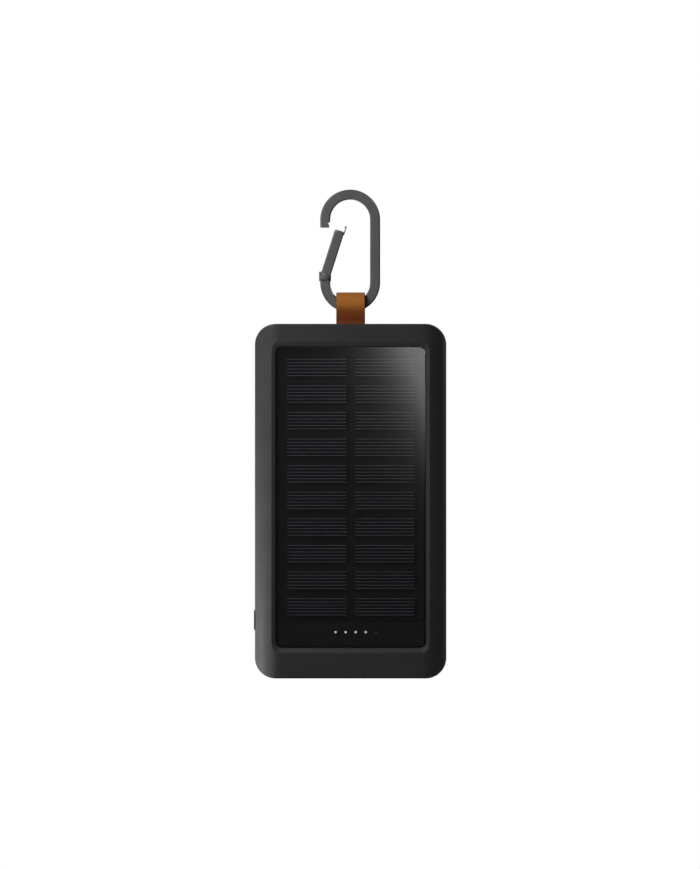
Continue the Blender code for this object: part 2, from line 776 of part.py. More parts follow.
def make_connector(name, centre_x, size, round_ends, tongue):
    """A metal shell, open at its mouth, and the plastic tongue inside it."""
    half_x, half_y, depth = size[0] / 2, size[1] / 2, size[2]
    corner = half_y - 0.01 * MM if round_ends else 0.5 * MM
    top = PORT_MOUTH_Z + depth

    def outline(shrink):
        low = (centre_x - half_x + shrink, -half_y + shrink)
        high = (centre_x + half_x - shrink, half_y - shrink)
        return [rounded_rectangle(low, high, corner - shrink, 5)]

    shell = prism(f"{name}_shell", outline(0), "Z", PORT_MOUTH_Z, top, STEEL)
    hollow = prism(
        f"{name}_hollow", outline(PORT_SKIN), "Z", PORT_MOUTH_Z - 1 * MM, top - PORT_SKIN
    )
    cut(shell, hollow)
    base = prism(
        f"{name}_tongue",
        outline(PORT_SKIN + 0.2 * MM),
        "Z",
        top - PORT_SKIN - 2.2 * MM,
        top - PORT_SKIN - 0.2 * MM,
        CHIP,
    )
    blade = box(
        f"{name}_blade",
        (centre_x - tongue[0] / 2, -tongue[1] / 2, PORT_MOUTH_Z + tongue[2]),
        (centre_x + tongue[0] / 2, tongue[1] / 2, top - PORT_SKIN - 1 * MM),
    )
    join(base, blade)


def make_port_cover():
    """A rubber flap with a low plug for each port, turning on a bead along its rear edge."""
    low = (-COVER_HALF, COVER_FRONT_Y)
    high = (COVER_HALF, COVER_AXIS.y)
    flap = prism(
        "port_cover",
        [rounded_rectangle(low, high, COVER_CORNER_R, 4)],
        "Z",
        *COVER_Z,
        RUBBER,
    )
    end = COVER_HALF - 1.0 * MM
    bead = rod(
        "cover_bead",
        COVER_BEAD_R,
        (-end, COVER_AXIS.y, COVER_AXIS.z),
        (end, COVER_AXIS.y, COVER_AXIS.z),
    )
    join(flap, bead)
    for i, (x, width, height) in enumerate(COVER_PLUGS):
        low = (x - width / 2, -height / 2)
        high = (x + width / 2, height / 2)
        outline = rounded_rectangle(low, high, 0.8 * MM, 4)
        join(flap, prism(f"plug_{i}", [outline], "Z", *COVER_PLUG_Z))
    hang(pivot_at("port_cover_axis", COVER_AXIS), flap)


def make_button():
    face_x = -BODY_W / 2 - BUTTON_PROUD
    cap = prism(
        "power_button",
        [stadium((0, BUTTON_Z), BUTTON_L, BUTTON_W)],
        "X",
        face_x,
        BUTTON_FLANGE_X[1],
        BUTTON_PLASTIC,
    )
    bevel(cap, BUTTON_EDGE, 2)
    flange = prism(
        "button_flange",
        [stadium((0, BUTTON_Z), BUTTON_L + 2 * BUTTON_LIP, BUTTON_W + 2 * BUTTON_LIP)],
        "X",
        BUTTON_FLANGE_X[0],
        BUTTON_FLANGE_X[1] + 0.1 * MM,
    )
    join(cap, flange)
    plunger = rod(
        "switch_plunger",
        PLUNGER_R,
        (PLUNGER_X[0], 0, BUTTON_Z),
        (PLUNGER_X[1], 0, BUTTON_Z),
        CHIP,
    )
    hang(pivot_at("button_axis", (face_x, 0, BUTTON_Z)), cap, plunger)
    switch = box(
        "switch_body",
        (SWITCH_X[0], SWITCH_FRONT_Y, BUTTON_Z - SWITCH_HALF_Z),
        (SWITCH_X[1], BOARD_Y[0] - GAP, BUTTON_Z + SWITCH_HALF_Z),
        STEEL,
    )
    bore = rod(
        "switch_bore",
        PLUNGER_R + GAP,
        (SWITCH_X[0] - 1 * MM, 0, BUTTON_Z),
        (SWITCH_X[0] + 2 * MM, 0, BUTTON_Z),
    )
    cut(switch, bore)


def make_battery():
    pouch = box(
        "battery_cell",
        (-BATTERY_W / 2, BATTERY_Y[0], BATTERY_Z[0]),
        (BATTERY_W / 2, BATTERY_Y[1], BATTERY_Z[1]),
        POUCH,
    )
    bevel(pouch, 2.0 * MM, 3)
    box(
        "foam_pad", (-FOAM_HALF, FOAM_Y[0], FOAM_Z[0]), (FOAM_HALF, FOAM_Y[1], FOAM_Z[1]), FOAM
    )
    for name, side, surface in (("positive", -1, RED_WIRE), ("negative", 1, BLACK_WIRE)):
        points = [
            (side * CELL_LEAD_X[0], 0, BATTERY_Z[0] - GAP),
            (side * CELL_LEAD_X[0], 0, CELL_LEAD_Z[0]),
            (side * CELL_LEAD_X[1], CELL_LEAD_BEND_Y, CELL_LEAD_Z[1]),
            (side * CELL_LEAD_X[1], BOARD_Y[0] - GAP, CELL_LEAD_Z[1]),
        ]
        wire(f"battery_lead_{name}", CELL_LEAD_R, bend(points), surface)
    panel_points = [
        (PANEL_LEAD_X[0], BACKSHEET_Y[1] + GAP, PANEL_LEAD_Z[0]),
        (PANEL_LEAD_X[0], PANEL_LEAD_BEND_Y, PANEL_LEAD_Z[0]),
        (PANEL_LEAD_X[1], PANEL_LEAD_BEND_Y, PANEL_LEAD_Z[1]),
        (PANEL_LEAD_X[1], BOARD_Y[0] - GAP, PANEL_LEAD_Z[1]),
    ]
    wire("panel_lead", PANEL_LEAD_R, bend(panel_points), BLACK_WIRE)


def teardrop(foot_z, reach, outer_r, foot):
    """A strap's side view: a round eye at some reach from the foot, drawn in to two plies by tangents.

    A negative reach hangs the eye below the foot.
    """
    up = 1 if reach > 0 else -1
    reach = abs(reach)
    neck = Vector((STRAP_HALF, reach * STRAP_NECK))
    down = neck - Vector((0, reach))
    touch = atan2(down.y, down.x) + acos(outer_r / down.length)
    outline = arc((0, reach), outer_r, touch, pi - touch, 28)
    outline += [(-neck.x, neck.y)] + foot + [(neck.x, neck.y)]
    return [(y, foot_z + up * z) for y, z in outline]


def make_strap():
    half = STRAP_W / 2
    round_foot = arc((0, 0), STRAP_HALF, pi, 2 * pi, 12)
    outline = teardrop(BODY_H, EYE_UP, EYE_R + STRAP_T, round_foot)
    eye = disc((0, BODY_H + EYE_UP), EYE_R, 40)
    loop = prism("strap_loop", [outline, eye], "X", -half, half, LEATHER)

    pin_z = BODY_H - ANCHOR_DOWN
    top = BODY_H - TAIL_TOP_DOWN
    flat_foot = [(-STRAP_HALF, 0), (STRAP_HALF, 0)]
    outline = teardrop(top, pin_z - top, TAIL_EYE_R + STRAP_T, flat_foot)
    eye = disc((0, pin_z), TAIL_EYE_R, 24)
    prism("strap_tail", [outline, eye], "X", -half, half, LEATHER)
    ends = (-ANCHOR_HALF, 0, pin_z), (ANCHOR_HALF, 0, pin_z)
    rod("strap_anchor_pin", ANCHOR_R, *ends, STEEL)
    smooth(loop)
    return loop


def half_ring(radius, centre_z, start, end):
    return arc((RING_X, RING_BASE + centre_z), radius, start, end, 24)


def make_carabiner_frame():
    """An open ring. Its low end is a seat round the gate's heel, with a lug between the fork's arms."""
    nose_z = RING_BASE + NOSE_END_Z
    seat_top = RING_BASE + SEAT_TOP_Z
    out_x, in_x = RING_X - RING_OUT_R, RING_X - RING_IN_R
    outline = [(out_x, nose_z)]
    outline += half_ring(RING_OUT_R, HIGH_ARC_Z, pi, 0)
    outline += half_ring(RING_OUT_R, LOW_ARC_Z, 0, -pi)
    outline += [(out_x, seat_top), (in_x, seat_top)]
    outline += half_ring(RING_IN_R, LOW_ARC_Z, -pi, 0)
    outline += half_ring(RING_IN_R, HIGH_ARC_Z, 0, pi)
    outline += [(in_x, nose_z)]
    half = RING_DEPTH / 2
    frame = prism("carabiner_frame", [outline], "Y", -half, half, GUNMETAL)
    bevel(frame, RING_EDGE)

    reach = RING_DEPTH
    across = Vector((0, reach, 0))
    cut(frame, rod("heel_seat", SEAT_R, PIVOT - across, PIVOT + across, sides=48))
    low, high, root = (RING_BASE + z for z in (*LUG_Z, LUG_ROOT_Z))
    lug_outline = [
        (LUG_ROOT_X[0], root),
        (LUG_ROOT_X[1], root),
        (LUG_ROOT_X[1], low),
        (LUG_X[1], low),
        (LUG_X[1], high),
        (LUG_X[0], high),
        (LUG_X[0], low),
        (LUG_ROOT_X[0], low),
    ]
    join(frame, prism("gate_lug", [lug_outline], "Y", -LUG_HALF_Y, LUG_HALF_Y))
    pin_hole = rod("pin_hole", PIN_R + RUNNING, PIVOT - across, PIVOT + across)
    bore = rod(
        "spring_bore",
        SPRING_BORE_R,
        PIVOT + Vector((SPRING_X, 0, SPRING_Z[0] - GAP)),
        PIVOT + Vector((SPRING_X, 0, 4 * MM)),
        sides=16,
    )
    relief = box(
        "nose_relief",
        (NOSE_RELIEF_X, -reach, nose_z - 1 * MM),
        (in_x + 1 * MM, reach, RING_BASE + NOSE_RELIEF_TOP_Z),
    )
    notch = box(
        "nose_notch",
        (NOTCH_X, -reach, RING_BASE + NOTCH_Z[0]),
        (in_x + 1.2 * MM, reach, RING_BASE + NOTCH_Z[1]),
    )
    cut(frame, pin_hole, bore, relief, notch)
    smooth(frame)
    return frame


def make_gate():
    """The gate is drawn shut, then turned open on its pivot."""
    outline = arc((0, 0), GATE_HALF, pi, 2 * pi, 16)
    outline += [(GATE_HALF, GATE_LENGTH), (-GATE_HALF, GATE_LENGTH)]
    half = RING_DEPTH / 2
    gate = prism("carabiner_gate", [outline], "Y", -half, half, GUNMETAL)
    bevel(gate, GATE_EDGE)
    fin_outline = [
        (FIN_X[1], GATE_LENGTH - 1.2 * MM),
        (FIN_X[1], FIN_TOP),
        (FIN_X[0], FIN_TOP),
        (FIN_X[0], BARB_Z[1] + BARB_RISE),
        (BARB_X, BARB_Z[1]),
        (BARB_X, BARB_Z[0]),
        (FIN_X[0], BARB_Z[0]),
        (FIN_X[0], GATE_LENGTH - 0.3 * MM),
        (GATE_HALF - 1.0 * MM, GATE_LENGTH - 0.6 * MM),
        (GATE_HALF - 1.0 * MM, GATE_LENGTH - 1.9 * MM),
    ]
    fin = prism("gate_fin", [fin_outline], "Y", -FIN_HALF_Y, FIN_HALF_Y)
    fork_slot = box(
        "fork_slot",
        (-2 * GATE_HALF, -FORK_HALF_Y, -2 * GATE_HALF),
        (2 * GATE_HALF, FORK_HALF_Y, FORK_TOP),
    )
    reach = Vector((0, RING_DEPTH, 0))
    hole = rod("gate_hole", PIN_R + RUNNING, -reach, reach)
    for helper in (fin, fork_slot, hole):
        helper.parent = gate
    join(gate, fin)
    cut(gate, fork_slot, hole)
    smooth(gate)
    return gate


def make_gate_pin():
    """A rivet through the fork and the lug, with a low head on each side."""
    half = Vector((0, RING_DEPTH / 2 + 0.1 * MM, 0))
    head = Vector((0, PIN_HEAD_T, 0))
    pin = rod("gate_pin", PIN_R, PIVOT - half - head, PIVOT + half + head, GUNMETAL)
    for side in (-1, 1):
        start = PIVOT + side * half
        join(pin, rod(f"pin_head_{side}", PIN_HEAD_R, start, start + side * head * 0.999))
    smooth(pin)
    return pin


def make_gate_spring():
    points = []
    steps = 10 * SPRING_TURNS
    for i in range(steps + 1):
        turn = 2 * pi * SPRING_TURNS * i / steps
        height = SPRING_Z[0] + SPRING_WIRE_R
        height += (SPRING_Z[1] - SPRING_Z[0] - 2 * SPRING_WIRE_R) * i / steps
        across = Vector((cos(turn), sin(turn), 0)) * SPRING_COIL_R
        points.append(PIVOT + Vector((SPRING_X, 0, height)) + across)
    return wire("gate_spring", SPRING_WIRE_R, points, STEEL)


make_front_casing()
make_rear_casing()
prism("casing_seal", seal_loop(SEAL_INSET, SEAL_W), "Y", *SEAL_Y, RUBBER)
for number, (screw_x, screw_z) in enumerate(SCREW_SPOTS, 1):
    make_screw(number, screw_x, screw_z)
make_panel()
make_indicator()
make_board()
make_connector("usb_a", PORT_A_X, PORT_A, False, (11.1 * MM, 1.8 * MM, 1.6 * MM))
make_connector("usb_c", PORT_C_X, PORT_C, True, (6.6 * MM, 0.7 * MM, 1.4 * MM))
make_port_cover()
make_button()
make_battery()

strap_axis = pivot_at("strap_bend_axis", (0, 0, BODY_H))
ring_axis = pivot_at("carabiner_swing_axis", (0, 0, BODY_H + EYE_UP), strap_axis)
gate_axis = pivot_at("gate_pivot_axis", PIVOT, ring_axis)
hang(strap_axis, make_strap())
hang(ring_axis, make_carabiner_frame(), make_gate_pin(), make_gate_spring())
gate = make_gate()
gate.parent = gate_axis
gate.rotation_euler = (0, GATE_OPEN, 0)
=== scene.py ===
"""Solar phone charger: its finer shapes, finishes, light and camera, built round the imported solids.

Lengths are metres, +Z is up and the solar panel faces -Y.
"""

import json
from math import acos, atan2, cos, pi, radians, sin

import bmesh
import bpy
import numpy as np
from mathutils import Matrix, Vector

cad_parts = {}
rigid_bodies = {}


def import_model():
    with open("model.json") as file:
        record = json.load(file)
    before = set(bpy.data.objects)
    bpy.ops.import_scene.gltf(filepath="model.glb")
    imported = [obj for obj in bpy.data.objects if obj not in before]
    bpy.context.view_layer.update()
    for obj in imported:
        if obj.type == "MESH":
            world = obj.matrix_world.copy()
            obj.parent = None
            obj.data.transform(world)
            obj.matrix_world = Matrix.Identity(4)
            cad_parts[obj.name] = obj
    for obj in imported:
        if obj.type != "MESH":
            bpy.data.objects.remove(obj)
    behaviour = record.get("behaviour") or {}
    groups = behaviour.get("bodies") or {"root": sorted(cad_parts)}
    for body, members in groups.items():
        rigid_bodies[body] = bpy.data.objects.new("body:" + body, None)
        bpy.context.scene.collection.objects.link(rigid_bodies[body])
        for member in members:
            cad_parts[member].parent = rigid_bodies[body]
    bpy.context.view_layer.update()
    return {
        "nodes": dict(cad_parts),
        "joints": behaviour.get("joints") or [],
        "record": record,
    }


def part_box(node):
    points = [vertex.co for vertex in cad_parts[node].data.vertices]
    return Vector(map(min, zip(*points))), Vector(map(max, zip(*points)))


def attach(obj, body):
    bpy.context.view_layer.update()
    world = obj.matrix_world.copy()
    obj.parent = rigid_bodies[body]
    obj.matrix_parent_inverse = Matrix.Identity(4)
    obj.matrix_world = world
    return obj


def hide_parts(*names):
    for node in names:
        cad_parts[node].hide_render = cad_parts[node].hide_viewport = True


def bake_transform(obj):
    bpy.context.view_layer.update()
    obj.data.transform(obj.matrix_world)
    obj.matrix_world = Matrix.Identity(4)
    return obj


MM = 0.001

for leftover in list(bpy.data.objects):
    bpy.data.objects.remove(leftover, do_unlink=True)

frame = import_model()
SLOT_OF = {row["node"]: row["material_slot"] for row in frame["record"]["subparts"]}
HINGE_AT = {row["name"]: row.get("pos_m") for row in frame["joints"]}

# ---------------------------------------------------------------- sizes

GAP = 0.3 * MM
SCREWS = 4
CELLS = 20

# The casing, whose sides are rounded from front to back
CASING_LOW, CASING_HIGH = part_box("front_casing")
HALF_W = CASING_HIGH.x
HEIGHT = CASING_HIGH.z
HALF_T = -CASING_LOW.y
OUTLINE_R = 9.0 * MM
SIDE_R = 10.8 * MM
WALL = 2.2 * MM
EDGE_R = 0.7 * MM
INNER_FACE = 5.8 * MM

# The window round the panel's cover: its rim slopes up from an edge to the casing's front
COVER_LOW, COVER_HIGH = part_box("panel_cover")
WINDOW_HALF = COVER_HIGH.x + GAP
WINDOW_Z = (COVER_LOW.z - GAP, COVER_HIGH.z + GAP)
WINDOW_R = 2.7 * MM
RIM_EDGE = 10.45 * MM
RIM_SIDE_SLOPE = 0.27
RIM_END_SLOPE = 0.477
RIM_R_GROWTH = 3.3 / 1.35
POCKET_FLOOR = 7.3 * MM

STRAP_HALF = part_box("strap_loop")[1].x
PIPE_TIP_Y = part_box("light_guide")[0].y
PIPE_TIP_DEPTH = 0.2 * MM
LIT_HALF = 9.0 * MM

# How finely the outlines on the casing are divided: corners, short sides and long sides
CORNER_STEPS = 16
SHORT_STEPS = 28
LONG_STEPS = 18

# ---------------------------------------------------------------- mesh helpers


def smooth(mesh, angle=40):
    """Shades a mesh smooth, apart from the edges sharper than an angle."""
    mesh.shade_smooth()
    mesh.set_sharp_from_angle(angle=radians(angle))


def from_bmesh(name, bm, smooth_angle=40):
    """Puts a finished mesh in the scene."""
    bmesh.ops.recalc_face_normals(bm, faces=bm.faces)
    mesh = bpy.data.meshes.new(name)
    bm.to_mesh(mesh)
    bm.free()
    smooth(mesh, smooth_angle)
    obj = bpy.data.objects.new(name, mesh)
    bpy.context.scene.collection.objects.link(obj)
    return obj


def skin_over(name, rings, looped=False, smooth_angle=40):
    """A closed surface through a row of rings. The first and last are capped, unless they meet."""
    bm = bmesh.new()
    rows = [[bm.verts.new(point) for point in ring] for ring in rings]
    pairs = list(zip(rows, rows[1:]))
    if looped:
        pairs.append((rows[-1], rows[0]))
    else:
        bm.faces.new(rows[0])
        bm.faces.new(list(reversed(rows[-1])))
    for one, two in pairs:
        for i in range(len(one)):
            j = (i + 1) % len(one)
            bm.faces.new((one[i], two[i], two[j], one[j]))
    return from_bmesh(name, bm, smooth_angle)


def rounded_loop(low, high, radius, corner=8, short=1, long=1):
    """Points and outward normals round a rounded rectangle, with its straight sides divided."""
    low, high = np.array(low, float), np.array(high, float)
    centres = (
        (low[0] + radius, low[1] + radius),
        (high[0] - radius, low[1] + radius),
        (high[0] - radius, high[1] - radius),
        (low[0] + radius, high[1] - radius),
    )
    points, normals = [], []
    for i, centre in enumerate(centres):
        for step in range(corner + 1):
            angle = pi + i * pi / 2 + step * pi / 2 / corner
            normal = np.array((cos(angle), sin(angle)))
            points.append(centre + radius * normal)
            normals.append(normal)
        after = centres[(i + 1) % 4]
        start = points[-1]
        end = after + radius * normals[-1]
        parts = (short, long)[i % 2]
        for step in range(1, parts):
            points.append(start + (end - start) * step / parts)
            normals.append(normals[-1])
    return np.array(points), np.array(normals)


def lift(points, axis, height):
    """A ring of flat points at some height along an axis, in the charger's frame."""
    u, v = points[:, 0], points[:, 1]
    w = np.broadcast_to(height, u.shape)
    order = {"X": (w, u, v), "Y": (u, w, v), "Z": (u, v, w)}[axis]
    return np.stack(order, axis=1)


def unit_circle(count):
    """Angles round a circle, and their points."""
    angles = np.arange(count) * 2 * pi / count
    return angles, np.column_stack([np.cos(angles), np.sin(angles)])


def prism(name, points, axis, low, high, edge=0.0, steps=3):
    """An outline given depth along an axis, with its sharp edges rounded if an edge width is given."""
    obj = skin_over(name, [lift(points, axis, low), lift(points, axis, high)])
    if edge:
        soften(obj, edge, steps)
    return obj


def soften(obj, width, steps=3, angle=50):
    """Bevels the edges sharper than an angle."""
    step = obj.modifiers.new("edges", "BEVEL")
    step.width = width
    step.segments = steps
    step.limit_method = "ANGLE"
    step.angle_limit = radians(angle)


def rod(name, radius, start, end, sides=40):
    """A cylinder from start to end."""
    start, end = Vector(start), Vector(end)
    turn = (end - start).to_track_quat("Z", "Y").to_matrix().to_4x4()
    bm = bmesh.new()
    bmesh.ops.create_cone(
        bm,
        cap_ends=True,
        segments=sides,
        radius1=radius,
        radius2=radius,
        depth=(end - start).length,
        matrix=Matrix.Translation((start + end) / 2) @ turn,
    )
    return from_bmesh(name, bm)


def block(name, low, high):
    """A box from its lowest to its highest corner."""
    low, high = Vector(low), Vector(high)
    bm = bmesh.new()
    bmesh.ops.create_cube(bm, size=1)
    bmesh.ops.scale(bm, vec=high - low, verts=bm.verts)
    bmesh.ops.translate(bm, vec=(low + high) / 2, verts=bm.verts)
    return from_bmesh(name, bm)


def combine(obj, operation, *others):
    """Adds or removes other solids, which are used up."""
    for other in others:
        step = obj.modifiers.new(other.name, "BOOLEAN")
        step.operation = operation
        step.solver = "EXACT"
        step.object = other
        other.hide_render = True
    bake(obj)
    for other in others:
        bpy.data.objects.remove(other, do_unlink=True)
    return obj


def level(obj):
    """Keeps the shading of flat faces flat beside their rounded edges."""
    step = obj.modifiers.new("flat_faces", "WEIGHTED_NORMAL")
    step.keep_sharp = True
    return obj


def bake(obj):
    """Turns an object's modifiers into its mesh."""
    graph = bpy.context.evaluated_depsgraph_get()
    mesh = bpy.data.meshes.new_from_object(obj.evaluated_get(graph))
    obj.modifiers.clear()
    obj.data = mesh
    smooth(mesh)
    return obj


# ---------------------------------------------------------------- finishes


class Finish:
    """A procedural material under construction."""

    def __init__(self, name):
        self.material = bpy.data.materials.new(name)
        self.material.use_nodes = True
        self.tree = self.material.node_tree
        self.shader = self.tree.nodes["Principled BSDF"]
        self.output = self.tree.nodes["Material Output"]
        self.place = self.node("ShaderNodeTexCoord").outputs["Object"]

    def node(self, kind, inputs=None, **settings):
        """A new node, with its settings made and its inputs fed."""
        made = self.tree.nodes.new(kind)
        for key, value in settings.items():
            setattr(made, key, value)
        for key, value in (inputs or {}).items():
            self.feed(made.inputs[key], value)
        return made

    def feed(self, socket, value):
        """Links another socket to this one, or gives it a value."""
        if isinstance(value, bpy.types.NodeSocket):
            self.tree.links.new(value, socket)
        else:
            socket.default_value = value

    def set(self, **inputs):
        """Feeds the surface's own inputs, named with _ for each space."""
        for key, value in inputs.items():
            self.feed(self.shader.inputs[key.replace("_", " ")], value)

    def noise(self, scale, detail):
        made = self.node(
            "ShaderNodeTexNoise", {"Vector": self.place, "Scale": scale, "Detail": detail}
        )
        return made.outputs[0]

    def patches(self, scale):
        """Small closed patches, each with its own colour."""
        return self.node("ShaderNodeTexVoronoi", {"Vector": self.place, "Scale": scale}).outputs

    def between(self, value, low, high, into_low, into_high):
        """Maps a value's range onto another."""
        given = {"Value": value, "From Min": low, "From Max": high}
        made = self.node("ShaderNodeMapRange", {**given, "To Min": into_low, "To Max": into_high})
        return made.outputs[0]

    def cloud(self, scale, detail, low=0.0, high=1.0):
        """Noise spread over a range."""
        return self.between(self.noise(scale, detail), 0.3, 0.7, low, high)

    def math(self, operation, first, second=0.0):
        made = self.node("ShaderNodeMath", operation=operation)
        self.feed(made.inputs[0], first)
        self.feed(made.inputs[1], second)
        return made.outputs[0]

    def mix(self, share, one, two):
        """A colour between two, which are colours or sockets."""
        made = self.node("ShaderNodeMix", data_type="RGBA")
        self.feed(made.inputs[0], share)
        self.feed(made.inputs[6], (*one, 1.0) if isinstance(one, tuple) else one)
        self.feed(made.inputs[7], (*two, 1.0) if isinstance(two, tuple) else two)
        return made.outputs[2]

    def bump(self, height, distance, rounding=0.0):
        """Relief in the surface, and a rounded look on its sharp edges."""
        made = self.node("ShaderNodeBump", {"Height": height, "Distance": distance})
        if rounding:
            soft = self.node("ShaderNodeBevel", {"Radius": rounding}, samples=4)
            self.feed(made.inputs["Normal"], soft.outputs[0])
        self.set(Normal=made.outputs[0])

    def blend_shaders(self, share, one, two):
        """The material's surface becomes a blend of two shaders."""
        both = self.node("ShaderNodeMixShader", {0: share, 1: one.outputs[0], 2: two.outputs[0]})
        self.feed(self.output.inputs["Surface"], both.outputs[0])

    def axis(self, letter):
        """How far along X, Y or Z a point is."""
        split = self.node("ShaderNodeSeparateXYZ", {"Vector": self.place})
        return split.outputs["XYZ".index(letter)]


def shade(colour, factor):
    """A colour made lighter or darker."""
    return tuple(min(1.0, part * factor) for part in colour)


def moulded(name, colour, roughness, metallic=0.0, grain=2600, relief=0.012 * MM, rounding=0.0):
    """A finish with a fine grain, and slow changes in tone and gloss."""
    vary = 0.08
    made = Finish(name)
    made.set(
        Base_Color=made.mix(made.cloud(90, 4), shade(colour, 1 - vary), shade(colour, 1 + vary)),
        Roughness=made.cloud(400, 4, roughness - vary / 2, roughness + vary / 2),
        Metallic=metallic,
    )
    made.bump(made.noise(grain, 2), relief, rounding)
    return made


def finish_casing():
    """Black plastic, matt and finely grained."""
    colour = (0.026, 0.026, 0.0265)
    return moulded("moulded_casing", colour, 0.46, relief=0.01 * MM, rounding=0.12 * MM)


def finish_leather():
    """Creased brown leather with dark cut edges. Painted shade and reddish bounce light darken and
    redden its foot under the eye's bulge, and painted shade darkens it where it goes into the slot.
    """
    made = Finish("strap_leather")
    # Dark brown: the colour of the cut edges, and painted shade where the strap goes into the slot
    dark = (0.06, 0.024, 0.01)
    broad = made.cloud(140, 5)
    creases = made.between(made.patches(1900.0)["Distance"], 0.05, 0.35, 0.0, 1.0)
    top = made.mix(broad, (0.262, 0.092, 0.0155), (0.305, 0.11, 0.0195))
    creased = made.mix(creases, (0.168, 0.055, 0.010), top)
    # The foot's colour, darker and redder: painted shade and reddish bounce light under the eye's
    # bulge
    foot = made.mix(broad, (0.215, 0.052, 0.014), (0.25, 0.064, 0.018))

    up = made.axis("Z")
    side = made.math("ABSOLUTE", made.axis("X"))
    # Painted shade and bounce light: below the eye's bulge the strap takes the darker, redder foot
    # colour
    shade_and_bounce_at_foot = made.between(up, HEIGHT + 3.7 * MM, HEIGHT + 7.7 * MM, 1.0, 0.0)
    # Painted shade: darker where the strap goes down into the casing's slot
    painted_shade_at_slot = made.between(up, HEIGHT + 0.2 * MM, HEIGHT + 4.2 * MM, 0.3, 0.0)
    at_edge = made.between(side, STRAP_HALF - 0.5 * MM, STRAP_HALF, 0.0, 0.75)
    colour = made.mix(shade_and_bounce_at_foot, made.mix(0.7, creased, top), foot)
    colour = made.mix(painted_shade_at_slot, colour, dark)
    made.set(
        Base_Color=made.mix(at_edge, colour, dark),
        Roughness=made.between(broad, 0.0, 1.0, 0.52, 0.66),
        Specular_IOR_Level=0.15,
    )
    made.bump(made.math("ADD", creases, made.noise(5200, 2)), 0.02 * MM)
    return made


def finish_silicon():
    """Dark cut silicon, a little bluer in some grains than in others."""
    made = Finish("dark_silicon")
    made.set(
        Base_Color=made.mix(
            made.patches(420.0)["Color"], (0.0028, 0.0028, 0.0046), (0.0046, 0.0044, 0.0082)
        ),
        Roughness=0.32,
    )
    made.bump(made.noise(3000, 2), 0.004 * MM)
    return made


def finish_metal(name, colour, roughness, metallic=1.0):
    """Satin metal with a slow change in tone and a fine change in gloss."""
    made = Finish(name)
    made.set(
        Base_Color=made.mix(made.cloud(160, 3), shade(colour, 0.94), shade(colour, 1.06)),
        Roughness=made.cloud(1400, 3, roughness - 0.04, roughness + 0.04),
        Metallic=metallic,
    )
    return made


def finish_cover():
    """A clear gloss laminate: it passes light, and mirrors more of it at a slant."""
    made = Finish("clear_cover")
    outer = made.math("SUBTRACT", 1.0, made.node("ShaderNodeNewGeometry").outputs["Backfacing"])
    slant = made.node("ShaderNodeFresnel", {"IOR": 1.5}).outputs[0]
    gloss = made.node("ShaderNodeBsdfGlossy", {"Roughness": 0.16})
    clear = made.node("ShaderNodeBsdfTransparent", {"Color": (0.93, 0.93, 0.94, 1)})
    made.blend_shaders(made.math("MULTIPLY", slant, outer), clear, gloss)
    return made


def finish_light_guide():
    """A moulded light pipe whose four middle tips are lit."""
    made = Finish("light_guide")
    side = made.math("ABSOLUTE", made.axis("X"))
    middle = made.math("LESS_THAN", side, LIT_HALF)
    tip = made.math("LESS_THAN", made.axis("Y"), PIPE_TIP_Y + PIPE_TIP_DEPTH)
    lit = made.math("MULTIPLY", middle, tip)
    glow = made.math("MULTIPLY", lit, made.cloud(1500, 2, 0.85))
    made.set(
        Base_Color=made.mix(tip, (0.5, 0.51, 0.52), (0.1, 0.1, 0.102)),
        Roughness=0.35,
        Emission_Color=(1.0, 1.0, 0.98, 1.0),
        Emission_Strength=made.math("MULTIPLY", glow, 0.6),
    )
    return made


SURFACES = {
    "casing": finish_casing(),
    "button": moulded("moulded_button", (0.012, 0.012, 0.0125), 0.5, rounding=0.1 * MM),
    "rubber": moulded("rubber", (0.013, 0.013, 0.0135), 0.72, grain=1800, relief=0.02 * MM),
    "clear_cover": finish_cover(),
    "silicon": finish_silicon(),
    "backsheet": moulded("black_laminate", (0.0068, 0.0068, 0.0068), 0.5, grain=2000),
    "light_pipe": finish_light_guide(),
    "led": moulded("lamp_package", (0.8, 0.8, 0.72), 0.35),
    "board": moulded("solder_mask", (0.02, 0.10, 0.05), 0.4, grain=900),
    "chip": moulded("moulded_epoxy", (0.02, 0.02, 0.02), 0.5),
    "ferrite": moulded("pressed_powder", (0.06, 0.06, 0.065), 0.65, grain=1500),
    "pouch": moulded("foil_pouch", (0.55, 0.56, 0.58), 0.32, 0.8, grain=300, relief=0.05 * MM),
    "foam": moulded("open_foam", (0.04, 0.04, 0.045), 0.95, grain=1200, relief=0.2 * MM),
    "steel": finish_metal("plain_steel", (0.56, 0.56, 0.57), 0.3),
    "gunmetal": finish_metal("dark_anodised", (0.14, 0.14, 0.142), 0.42, 0.35),
    "leather": finish_leather(),
    "red_wire": moulded("red_insulation", (0.5, 0.02, 0.02), 0.45),
    "black_wire": moulded("black_insulation", (0.02, 0.02, 0.02), 0.45),
}
SILVER = finish_metal("printed_silver", (0.17, 0.17, 0.17), 0.5, 0.3)


def dress(obj, slot):
    """Gives a piece the finish of its material slot."""
    obj.data.materials.clear()
    obj.data.materials.append(SURFACES[slot].material)


def finished(obj, body, slot, *nodes):
    """Paints a piece, fixes it to its body and lets it stand for the solids it was made for."""
    dress(obj, slot)
    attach(obj, body)
    if nodes:
        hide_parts(*nodes)


for node_name, solid in frame["nodes"].items():
    dress(solid, SLOT_OF[node_name])

# ---------------------------------------------------------------- casing


def half_depth(x):
    """How far the casing's skin is from its middle plane, x away from its axis."""
    over = np.clip(np.abs(x) - (HALF_W - SIDE_R), 0, SIDE_R)
    return HALF_T - SIDE_R + np.sqrt(SIDE_R**2 - over**2)


